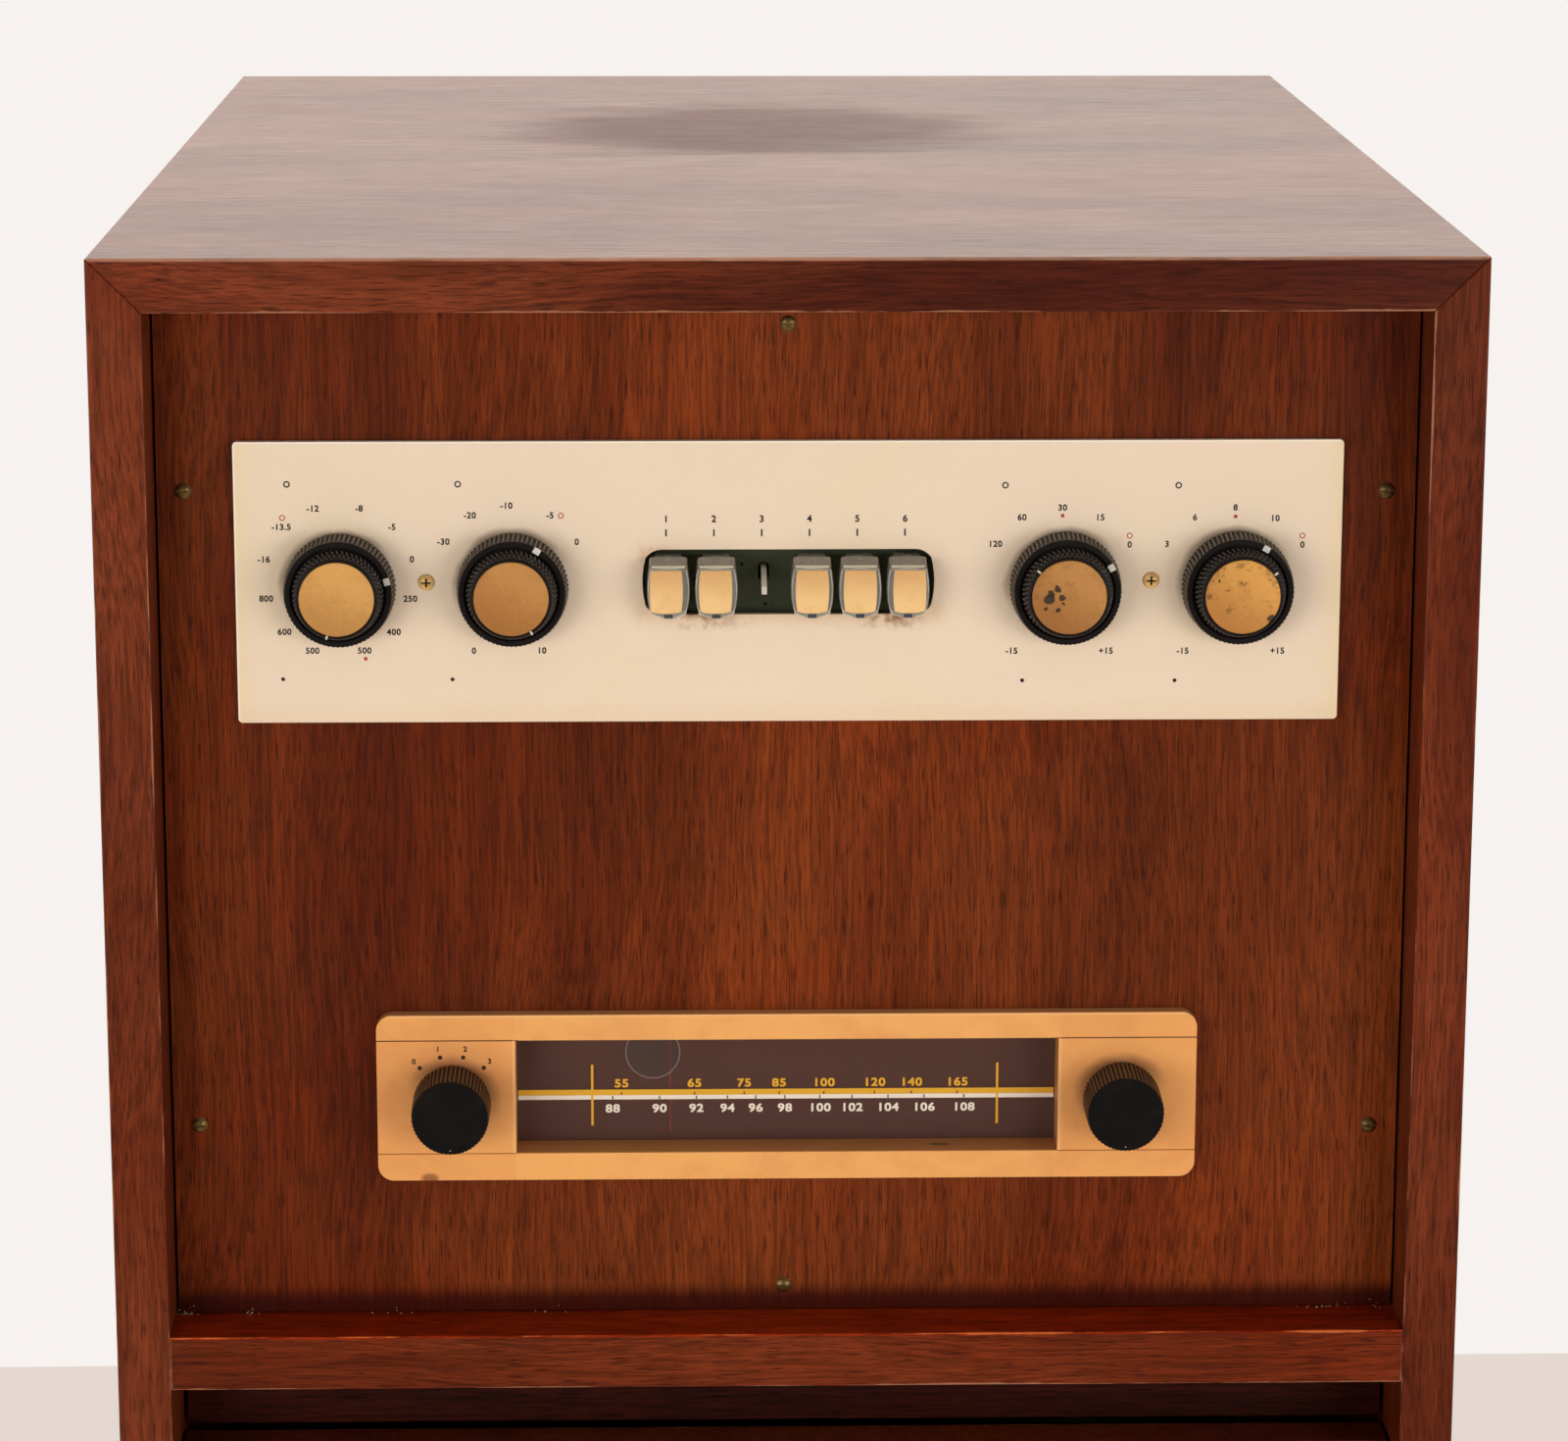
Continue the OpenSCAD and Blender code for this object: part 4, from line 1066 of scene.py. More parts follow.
def turned(profile: Sequence[tuple[float, float]], steps: int = 96) -> bmesh.types.BMesh:
    """Return a shape turned about the Y axis.

    Args:
        profile: radius and distance towards the front of each point, in millimetres.
        steps: faces round the axis.

    Returns:
        The bmesh, with its axis through the origin.
    """
    shape = bmesh.new()
    verts = [shape.verts.new((radius * MM, -front * MM, 0.0)) for radius, front in profile]
    edges = [shape.edges.new(pair) for pair in zip(verts, verts[1:])]
    bmesh.ops.spin(
        shape, geom=verts + edges, cent=(0, 0, 0), axis=(0, 1, 0), angle=math.tau, steps=steps, use_merge=True
    )
    bmesh.ops.remove_doubles(shape, verts=shape.verts[:], dist=1e-7)
    bmesh.ops.recalc_face_normals(shape, faces=shape.faces[:])
    return shape


def merged(shapes: Iterable[bmesh.types.BMesh]) -> bmesh.types.BMesh:
    """Return one bmesh that holds several, which are freed."""
    whole = bmesh.new()
    for shape in shapes:
        mesh = bpy.data.meshes.new("part")
        shape.to_mesh(mesh)
        shape.free()
        whole.from_mesh(mesh)
        bpy.data.meshes.remove(mesh)
    return whole


def moved(shape: bmesh.types.BMesh, offset: Sequence[float], turn: float = 0.0) -> bmesh.types.BMesh:
    """Turn a shape clockwise, seen from the front, about Y and then move it.

    Args:
        shape: the bmesh, changed in place.
        offset: where its origin goes.
        turn: angle in degrees.

    Returns:
        The same bmesh.
    """
    matrix = Matrix.Translation(offset) @ Matrix.Rotation(math.radians(turn), 4, "Y")
    bmesh.ops.transform(shape, matrix=matrix, verts=shape.verts[:])
    return shape


def from_curve(curve: bpy.types.Curve) -> bmesh.types.BMesh:
    """Return a curve's surface as a bmesh, and remove the curve."""
    obj = bpy.data.objects.new(curve.name, curve)
    bpy.context.scene.collection.objects.link(obj)
    mesh = bpy.data.meshes.new_from_object(obj.evaluated_get(bpy.context.evaluated_depsgraph_get()))
    shape = bmesh.new()
    shape.from_mesh(mesh)
    bpy.data.objects.remove(obj)
    bpy.data.curves.remove(curve)
    bpy.data.meshes.remove(mesh)
    return shape


def seat(node: str, plate: str) -> tuple[Point, float]:
    """Return where a knob's axis meets a plate, and where the knob's back ends.

    Args:
        node: the knob's CAD node.
        plate: the CAD node of the plate that it stands before.

    Returns:
        The point on the plate's face, and the back's distance to the front in millimetres.
    """
    low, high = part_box(node)
    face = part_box(plate)[0][1]
    return ((low[0] + high[0]) / 2, face, (low[2] + high[2]) / 2), -(high[1] - face) / MM


def printed(text: str, height: float, stretch: float = 1.0) -> bmesh.types.BMesh:
    """Return printed figures that face the front, centred on the origin.

    Args:
        text: plain figures and signs.
        height: height of the figures in millimetres.
        stretch: how much wider than usual they are.

    Returns:
        The bmesh.
    """
    curve = bpy.data.curves.new("figures", "FONT")
    curve.body = text
    curve.size = height * MM / CAPITAL
    curve.align_x = "CENTER"
    curve.align_y = "CENTER"
    curve.space_character = 1.1
    curve.resolution_u = 6
    curve.offset = height * MM * 0.02
    curve.extrude = INK * MM
    shape = from_curve(curve)
    bmesh.ops.remove_doubles(shape, verts=shape.verts[:], dist=1e-7)
    upright = Matrix.Rotation(math.radians(90), 4, "X") @ Matrix.Diagonal((stretch, 1.0, 1.0, 1.0))
    bmesh.ops.transform(shape, matrix=upright, verts=shape.verts[:])
    step = height * BOLD * MM
    corners = ((-1, -1), (-1, 1), (1, -1), (1, 1))
    return merged(
        [moved(shape.copy(), (x * step, i * LAYER * MM, z * step)) for i, (x, z) in enumerate(corners)]
)


def dot(radius: float, hole: float = 0.0) -> bmesh.types.BMesh:
    """Return a printed dot or ring.

    Args:
        radius: outer radius in millimetres.
        hole: inner radius in millimetres.

    Returns:
        The bmesh.
    """
    if hole:
        return turned([(hole, 0.0), (hole, INK), (radius, INK), (radius, 0.0), (hole, 0.0)], 32)
    return turned([(0.0, 0.0), (radius, 0.0), (radius, INK), (0.0, INK)], 32)


def bar(width: float, height: float) -> bmesh.types.BMesh:
    """Return a printed bar, centred, of a size in millimetres."""
    return block((-width / 2 * MM, -INK * MM, -height / 2 * MM), (width / 2 * MM, 0.0, height / 2 * MM))


def fluted(
    profile: Sequence[tuple[float, float, float]], teeth: int, depth: float, twist: float
) -> bmesh.types.BMesh:
    """Return a knob with ridges on its side.

    Args:
        profile: radius and front distance in millimetres, and how much of the ridges each point takes.
        teeth: number of ridges.
        depth: depth of the ridges in millimetres.
        twist: how far a ridge leans, in degrees for each millimetre of height.

    Returns:
        The bmesh, with the values crest and side on its points.
    """
    shape = turned([(radius, front) for radius, front, _ in profile], teeth * 4)
    crest = shape.verts.layers.float.new("crest")
    side = shape.verts.layers.float.new("side")
    for vert in shape.verts:
        radius = math.hypot(vert.co.x, vert.co.z) / MM
        front = -vert.co.y / MM
        share = next((s for r, f, s in profile if abs(f - front) < 1e-3 and abs(r - radius) < 1e-2), 0.0)
        vert[side] = min(1.0, share * 4)
        if share:
            angle = math.degrees(math.atan2(vert.co.z, vert.co.x)) + twist * front
            wave = 0.5 + 0.5 * math.cos(math.radians(angle) * teeth)
            vert[crest] = wave
            scale = 1 - share * depth * (1 - wave) / radius
            vert.co.x *= scale
            vert.co.z *= scale
    return shape


# ------------------------------------------------------------------ assemblies


@dataclass
class Studio:
    """Floor, wall, lamps and the camera."""

    wall_y: float = 0.565
    wall_turn: float = 0.35
    lens: float = 110.47
    shift: float = -0.03
    place: Point = (-0.0420, -2.05458, 0.99817)
    pitch: float = 12.733
    yaw: float = 1.330
    roll: float = 0.093
    ambient: float = 0.43
    dark_room: float = 0.15
    reach: float = 6.0
    aim: Point = (0.0, -0.1, 0.5)
    front_size: tuple[float, float] = (1.5, 1.1)
    front_power: float = 25.5
    top_size: tuple[float, float] = (2.4, 1.6)
    top_power: float = 19.0

    def build(self) -> None:
        """Make everything that isn't part of the console."""
        self.surroundings()
        for name, place, size, power in (
            ("left_lamp", (-1.65, -2.38, 0.62), self.front_size, self.front_power),
            ("right_lamp", (1.75, -2.33, 0.58), self.front_size, self.front_power),
            ("top_lamp", (0.1, 0.15, 2.8), self.top_size, self.top_power),
        ):
            self.lamp(name, place, size, power)
        self.camera()

    def surroundings(self) -> None:
        """Make the floor, the wall and the world."""
        floor = bmesh.new()
        bmesh.ops.create_grid(floor, x_segments=1, y_segments=1, size=self.reach)
        self.stage(floor, "floor", srgb(232, 220, 213), 0.9)
        wall = bmesh.new()
        matrix = Matrix.Translation((0, self.wall_y, 0)) @ Matrix.Rotation(
            math.radians(self.wall_turn), 4, "Z"
)
        matrix = matrix @ Matrix.Rotation(math.radians(90), 4, "X")
        bmesh.ops.create_grid(wall, x_segments=1, y_segments=1, size=self.reach, matrix=matrix)
        self.stage(wall, "wall", srgb(247, 242, 239), 1.0)
        world = bpy.data.worlds.new("studio")
        bpy.context.scene.world = world
        world.use_nodes = True
        graph = Graph(world.node_tree)
        _, ahead, _ = graph.split(graph.node("TexCoord").outputs["Generated"])
        shade = graph.step(ahead, -0.7, 0.3, self.dark_room, 1.0)
        glossy = graph.node("LightPath").outputs["Is Glossy Ray"]
        dimmed = graph.scaled(graph.minus(shade, 1.0), glossy, 1.0)
        back = graph.node("Background", {0: srgb(247, 243, 240), 1: graph.times(dimmed, self.ambient)})
        graph.put(graph.node("OutputWorld").inputs[0], back.outputs[0])

    def stage(self, shape: bmesh.types.BMesh, name: str, colour: Colour, seen: float) -> None:
        """Make one plain surface that shows its own colour and takes shadows on the floor.

        Args:
            shape: its mesh, which is freed.
            name: its name.
            colour: its colour.
            seen: how much of the colour is shown unlit, 0 to 1.
        """
        mesh = bpy.data.meshes.new(name)
        shape.to_mesh(mesh)
        shape.free()
        obj = bpy.data.objects.new(name, mesh)
        bpy.context.scene.collection.objects.link(obj)
        material = bpy.data.materials.new(name)
        material.use_nodes = True
        graph = Graph(material.node_tree)
        matte = graph.node("BsdfDiffuse", {0: colour})
        path = graph.node("LightPath").outputs
        _, depth, _ = graph.split(graph.place())
        mirrored = graph.times(path["Is Glossy Ray"], graph.fall(depth, -1.3, -0.45))
        glow = graph.node("Emission", {0: colour, 1: graph.minus(1.0, mirrored)})
        direct = graph.math(
            "MAXIMUM", path["Is Camera Ray"],
            graph.math("MAXIMUM", path["Is Glossy Ray"], path["Is Transmission Ray"]),
)
        shown = graph.node(
            "MixShader", {0: graph.times(direct, seen), 1: matte.outputs[0], 2: glow.outputs[0]}
)
        clear = graph.node("BsdfTransparent")
        turned_away = graph.node("NewGeometry").outputs["Backfacing"]
        both = graph.node("MixShader", {0: turned_away, 1: shown.outputs[0], 2: clear.outputs[0]})
        graph.put(graph.node("OutputMaterial").inputs[0], both.outputs[0])
        mesh.materials.append(material)

    def lamp(self, name: str, place: Point, size: tuple[float, float], power: float) -> None:
        """Add a soft box that faces the console.

        Args:
            name: its name.
            place: where it hangs.
            size: its width and height in metres.
            power: its power in watts.
        """
        light = bpy.data.lights.new(name, "AREA")
        light.shape = "RECTANGLE"
        light.size, light.size_y = size
        light.energy = power
        light.color = (1.0, 0.985, 0.965)
        obj = bpy.data.objects.new(name, light)
        obj.location = place
        obj.rotation_euler = (Vector(self.aim) - Vector(place)).to_track_quat("-Z", "Y").to_euler()
        obj.visible_camera = False
        bpy.context.scene.collection.objects.link(obj)

    def camera(self) -> None:
        """Add the camera, a little left of the middle and looking down."""
        data = bpy.data.cameras.new("camera")
        data.lens = self.lens
        data.sensor_width = 36.0
        data.shift_y = self.shift
        obj = bpy.data.objects.new("camera", data)
        pitch, yaw, roll = (math.radians(a) for a in (self.pitch, self.yaw, self.roll))
        ahead = Vector((math.sin(yaw) * math.cos(pitch), math.cos(yaw) * math.cos(pitch), -math.sin(pitch)))
        right = Vector((math.cos(yaw), -math.sin(yaw), 0.0))
        up = right.cross(ahead)
        side = right * math.cos(roll) + up * math.sin(roll)
        top = up * math.cos(roll) - right * math.sin(roll)
        turn = Matrix((side, top, -ahead)).transposed().to_4x4()
        obj.matrix_world = Matrix.Translation(self.place) @ turn
        bpy.context.scene.collection.objects.link(obj)
        bpy.context.scene.camera = obj


@dataclass
class Case:
    """Boards of the case, the recessed panel and their screws."""

    builder: Builder

    def build(self) -> None:
        """Dress every board."""
        front = {"dark": srgb(75, 27, 12), "mid": srgb(102, 44, 22), "bright": srgb(118, 54, 28)}
        dress = self.builder.dress
        rail = {"dark": srgb(74, 24, 9), "mid": srgb(98, 38, 15), "bright": srgb(112, 47, 20)}
        panel = {"dark": srgb(78, 27, 6), "mid": srgb(104, 43, 13), "bright": srgb(122, 55, 19)}
        # Painted shade: the apron sits back under the rail in deep shade, so its wood is coloured near black;
        # the plinth takes the same colours.
        shaded_dark = {"dark": srgb(20, 4, 1), "mid": srgb(36, 8, 3), "bright": srgb(54, 15, 6)}
        lacquer = {"haze": 0.72, "rough": 0.34, "coat": 0.42, "contrast": 1.3}
        side = {"wear": 0.7, "grime": 0.35}
        for node, look, grain, seed, eased, extra in (
            ("case_top", "veneer_top", Axis.X, 1.0, 0.7, {"wear": 1.1, **lacquer, **front}),
            ("case_side_left", "veneer_left", Axis.Z, 2.3, 0.7, {**side, **front}),
            ("case_side_right", "veneer_right", Axis.Z, 4.1, 0.7, {**side, **front}),
            ("case_bottom", "veneer_bottom", Axis.X, 5.2, 0.7, {"wear": 0.7, **front}),
            ("mid_shelf", "veneer_shelf", Axis.X, 6.7, 0.6, {"wear": 0.9, "ledge": 0.9, **rail}),
            ("control_panel", "veneer_panel", Axis.Z, 8.4, 0.0, {"rough": 0.45, "foot": 12.0, **panel}),
            ("drawer_front", "veneer_drawer", Axis.Z, 9.9, 0.6, {"wear": 0.8, **front}),
            ("drawer_apron", "stained_apron", Axis.X, 11.0, 0.5, {"rough": 0.45, **shaded_dark}),
            ("plinth", "stained_plinth", Axis.X, 12.0, 0.6, {"rough": 0.5, "grime": 0.4, **shaded_dark}),
        ):
            dress(node, Veneer(look, grain, seed=seed, board=node, **extra), eased)
        dress("panel_cleats", RawBoard("raw_battens", Axis.Z), 0.5)
        dress(
            "back_panel", RawBoard("raw_hardboard", Axis.X, light=srgb(134, 94, 60), dark=srgb(116, 78, 48))
)
        aged = Metal("aged_brass_screws", srgb(150, 120, 72), srgb(74, 58, 38), 0.42, 0.3, 0.6)
        dress("wood_screws", aged, smooth=True)
        self.crumbs()

    def crumbs(self) -> None:
        """Scatter dried glue and dust along the foot of the panel."""
        low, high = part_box("control_panel")
        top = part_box("mid_shelf")[1][2]
        rng = random.Random(7)
        shapes = []
        spots = [(low[0] + 0.0035, 26, 0.006), (low[0] + 0.029, 8, 0.004), (low[0] + 0.14, 5, 0.01),
                 (high[0] - 0.024, 18, 0.008), (high[0] - 0.006, 8, 0.003), (low[0] + 0.085, 6, 0.012)]
        for centre, count, spread in spots:
            for _ in range(count):
                crumb = bmesh.new()
                bmesh.ops.create_icosphere(crumb, subdivisions=1, radius=1.0)
                size = rng.uniform(0.12, 0.34) * MM
                place = (
                    centre + rng.gauss(0, spread / 2), low[1] - abs(rng.gauss(0, 0.0011)) - size,
                    top + size * 0.5 + (rng.random() < 0.3) * abs(rng.gauss(0, 0.0012)),
                )
                stretch = Matrix.Diagonal(
                    (size * rng.uniform(0.8, 2.0), size, size * rng.uniform(0.5, 1.1), 1.0)
)
                bmesh.ops.transform(crumb, matrix=Matrix.Translation(place) @ stretch, verts=crumb.verts[:])
                shapes.append(crumb)
        dust = Paint("dried_glue", srgb(178, 152, 116), srgb(110, 84, 58), 0.8, 0.6)
        self.builder.piece(merged(shapes), "glue_crumbs", "case", dust, "plywood")


@dataclass(frozen=True)
class Mark:
    """One printed mark beside a knob: figures, or a dot or ring, in millimetres from its axis."""

    text: str
    x: float
    z: float
    red: bool = False


@dataclass(frozen=True)
class Control:
    """One pair of knobs on one axis."""

    ring: str
    knob: str
    ring_turn: float
    knob_turn: float
    marks: tuple[Mark, ...]
    blots: tuple[tuple[float, float, float], ...] = ()
    pitted: float = 0.0
    light: Colour = srgb(236, 178, 98)
    deep: Colour = srgb(206, 148, 76)
    chipped: bool = False


RING, DOT, HEAD, FOOT = "ring", "dot", "head", "foot"
DOTS = {RING: (1.1, 0.72), DOT: (0.72,), HEAD: (1.25, 0.72), FOOT: (0.75,)}


WHITE_MARK = Paint("white_mark", srgb(222, 217, 206), srgb(160, 150, 134), 0.5, 0.5)


@dataclass
class KeyCap:
    """One clear key cap and what shows through it, with sizes in millimetres."""

    builder: Builder
    number: int
    shift: float
    waist: float = 10.8
    bow: float = 35.0
    lift: float = 2.1
    crown: float = 2.6
    skin: float = 0.06
    plate_half: float = 6.25
    plate_foot: float = 1.9
    plate_bow: float = 60.0
    line: float = 0.2

    def __post_init__(self) -> None:
        """Take the cap's place from the frame."""
        self.low, self.high = (Vector(corner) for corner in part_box(f"key_cap_{self.number}"))
        self.middle = (self.low.x + self.high.x) / 2
        self.half = (self.high.x - self.low.x) / 2
        self.top = (self.high.z - self.low.z) / MM
        self.depth = (self.high.y - self.low.y) / MM

    def at(self, x: float, y: float, z: float) -> Point:
        """Return the point so far right of the middle, behind the front and above the foot."""
        return (self.middle + x * MM, self.low.y + y * MM, self.low.z + z * MM)

    def build(self) -> None:
        """Make the cap's pieces."""
        self.piece(self.shell(), "cap", Clear("clear_cap", (0.88, 0.84, 0.74), 0.1, 0.82), 30)
        low, high = self.low.z + self.plate_foot * MM, self.high.z - 2.9 * MM
        cream = CreamInsert(f"cream_insert_{self.number}", low, high, float(self.number))
        self.piece(self.plate(), "insert", cream, 30)
        slug = block(self.at(-1.6, 0.0, 0.35), self.at(1.6, 2.2, 1.7), 0.2 * MM)
        self.piece(slug, "slug", Paint("slate_slug", srgb(52, 58, 66), srgb(34, 36, 38), 0.5))
        # Painted highlight: a pale line round the front edges of the clear cap.
        self.piece(self.rim(), "rim", Paint("cap_rim", srgb(214, 206, 186), srgb(160, 150, 128), 0.3), 40)
        # Painted highlights in the clear cap: a pale strip down the middle of its top, a band across the
        # front below its top edge, and the lip along its foot.
        strip = block(
            self.at(-1.0, self.depth - 8.0, self.top - 2.2), self.at(1.0, self.depth - 4.0, self.top - 0.9)
)
        band = block(self.at(-6.2, 0.9, self.top - 2.85), self.at(6.2, 2.4, self.top - 1.7), 0.3 * MM)
        pale = Paint("pale_strip", srgb(196, 190, 164), srgb(140, 132, 108), 0.5)
        self.piece(merged([strip, band, self.lip()]), "strip", pale)

    def piece(self, shape: bmesh.types.BMesh, kind: str, finish: Finish, sharp: float = 35.0) -> None:
        """Add one of the cap's pieces.

        Args:
            shape: its bmesh.
            kind: what it is; the cap itself stands for the CAD cap.
            finish: its finish.
            sharp: edges with a larger angle, in degrees, stay sharp.
        """
        node = f"key_{kind}_{self.number}"
        name, replaced = (node + "_look", [node]) if kind == "cap" else (node, [])
        self.builder.piece(shape, name, f"key_{self.number}", finish, "clear_plastic", replaced, sharp)

    def eased(self, shape: bmesh.types.BMesh, width: float) -> bmesh.types.BMesh:
        """Round a shape's sharp edges by a width in millimetres, and return it."""
        edges = [e for e in shape.edges if e.is_manifold and e.calc_face_angle(0.0) > math.radians(50)]
        bmesh.ops.bevel(
            shape, geom=edges, offset=width * MM, segments=3, profile=0.5, affect="EDGES", material=-1
        )
        return shape

    def shell(self) -> bmesh.types.BMesh:
        """Return the clear cap: a bowed block with a sloping top, and a neck."""
        low, high, middle = self.low, self.high, self.middle
        front, back = low.y + self.skin * MM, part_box("preamp_faceplate")[0][1] - 2 * MM
        waist, shoulder = low.z + self.waist * MM, high.z - self.crown * MM
        shape = block((low.x, front, low.z), (high.x, back, shoulder))
        bmesh.ops.subdivide_edges(shape, edges=shape.edges[:], cuts=9, use_grid_fill=True)
        for vert in shape.verts:
            bow = (vert.co.z - waist) ** 2 / (2 * self.bow * MM)
            side = (vert.co.x - middle) / self.half
            vert.co.x = middle + side * (self.half - bow)
            foot = max(0.0, 1 - (vert.co.z - low.z) / (5 * MM))
            vert.co.z += self.lift * MM * foot * side * side
            crown = max(0.0, (vert.co.z - waist) / (shoulder - waist))
            slope = max(0.0, vert.co.y - front - 1 * MM) / (back - front - 1 * MM)
            vert.co.z += crown * self.crown * MM * slope
        shape = self.eased(shape, 0.55)
        neck = block(
            (middle - 5 * MM, back - 0.3 * MM, high.z - 16.3 * MM), (middle + 5 * MM, high.y, high.z),
            0.5 * MM,
)
        return merged([shape, neck])

    def plate(self) -> bmesh.types.BMesh:
        """Return the cream plate in the front of the cap, a little to one side of its middle."""
        middle = self.middle + self.shift * MM
        half, waist = self.plate_half * MM, self.low.z + 10.5 * MM
        shape = block(
            self.at(self.shift - self.plate_half, 0.0, self.plate_foot),
            self.at(self.shift + self.plate_half, 1.6, self.top - 3.2),
        )
        bmesh.ops.subdivide_edges(shape, edges=shape.edges[:], cuts=7, use_grid_fill=True)
        for vert in shape.verts:
            side = (vert.co.x - middle) / half
            vert.co.x = middle + side * (half - (vert.co.z - waist) ** 2 / (2 * self.plate_bow * MM))
            foot = max(0.0, 1 - (vert.co.z - self.low.z - self.plate_foot * MM) / (4 * MM))
            vert.co.z += 0.7 * MM * foot * side ** 4
        return self.eased(shape, 0.35)

    def lip(self) -> bmesh.types.BMesh:
        """Return the pale lip that follows the foot of the cap, a painted highlight where the rounded clear
        foot catches the light.
        """
        shape = block(self.at(-6.2, 0.3, 0.5), self.at(6.2, 1.4, self.plate_foot))
        bmesh.ops.subdivide_edges(shape, edges=shape.edges[:], cuts=7, use_grid_fill=True)
        for vert in shape.verts:
            vert.co.z += self.lift * MM * ((vert.co.x - self.middle) / self.half) ** 2
        return shape

    def rim(self) -> bmesh.types.BMesh:
        """Return the pale line where the cap's faces meet, swept round its front: a painted highlight on the
        clear cap's edge.
        """
        half = self.half - 0.5 * MM
        waist, foot = self.low.z + self.waist * MM, self.low.z + 2.4 * MM
        crown = self.high.z - (self.crown + 0.5) * MM
        heights = [foot + (crown - foot) * i / 12 for i in range(13)]
        right = [(half - (z - waist) ** 2 / (2 * self.bow * MM), z) for z in heights]
        spread = [0.9 - 1.8 * i / 10 for i in range(11)]
        over = [(side * right[-1][0], crown + 0.3 * MM * (1 - abs(side))) for side in spread]
        left = [(-x, z) for x, z in reversed(right)]
        spread = [-0.88 + 1.76 * i / 8 for i in range(9)]
        under = [(side * half, self.low.z + (0.45 + self.lift * side * side) * MM) for side in spread]
        places = right + over + left + under
        curve = bpy.data.curves.new("rim", "CURVE")
        curve.dimensions = "3D"
        curve.bevel_depth = self.line * MM
        curve.bevel_resolution = 1
        sweep = curve.splines.new("POLY")
        sweep.points.add(len(places) - 1)
        for point, (x, z) in zip(sweep.points, places):
            point.co = (self.middle + x, self.low.y + 0.3 * MM, z, 1.0)
        sweep.use_cyclic_u = True
        return from_curve(curve)


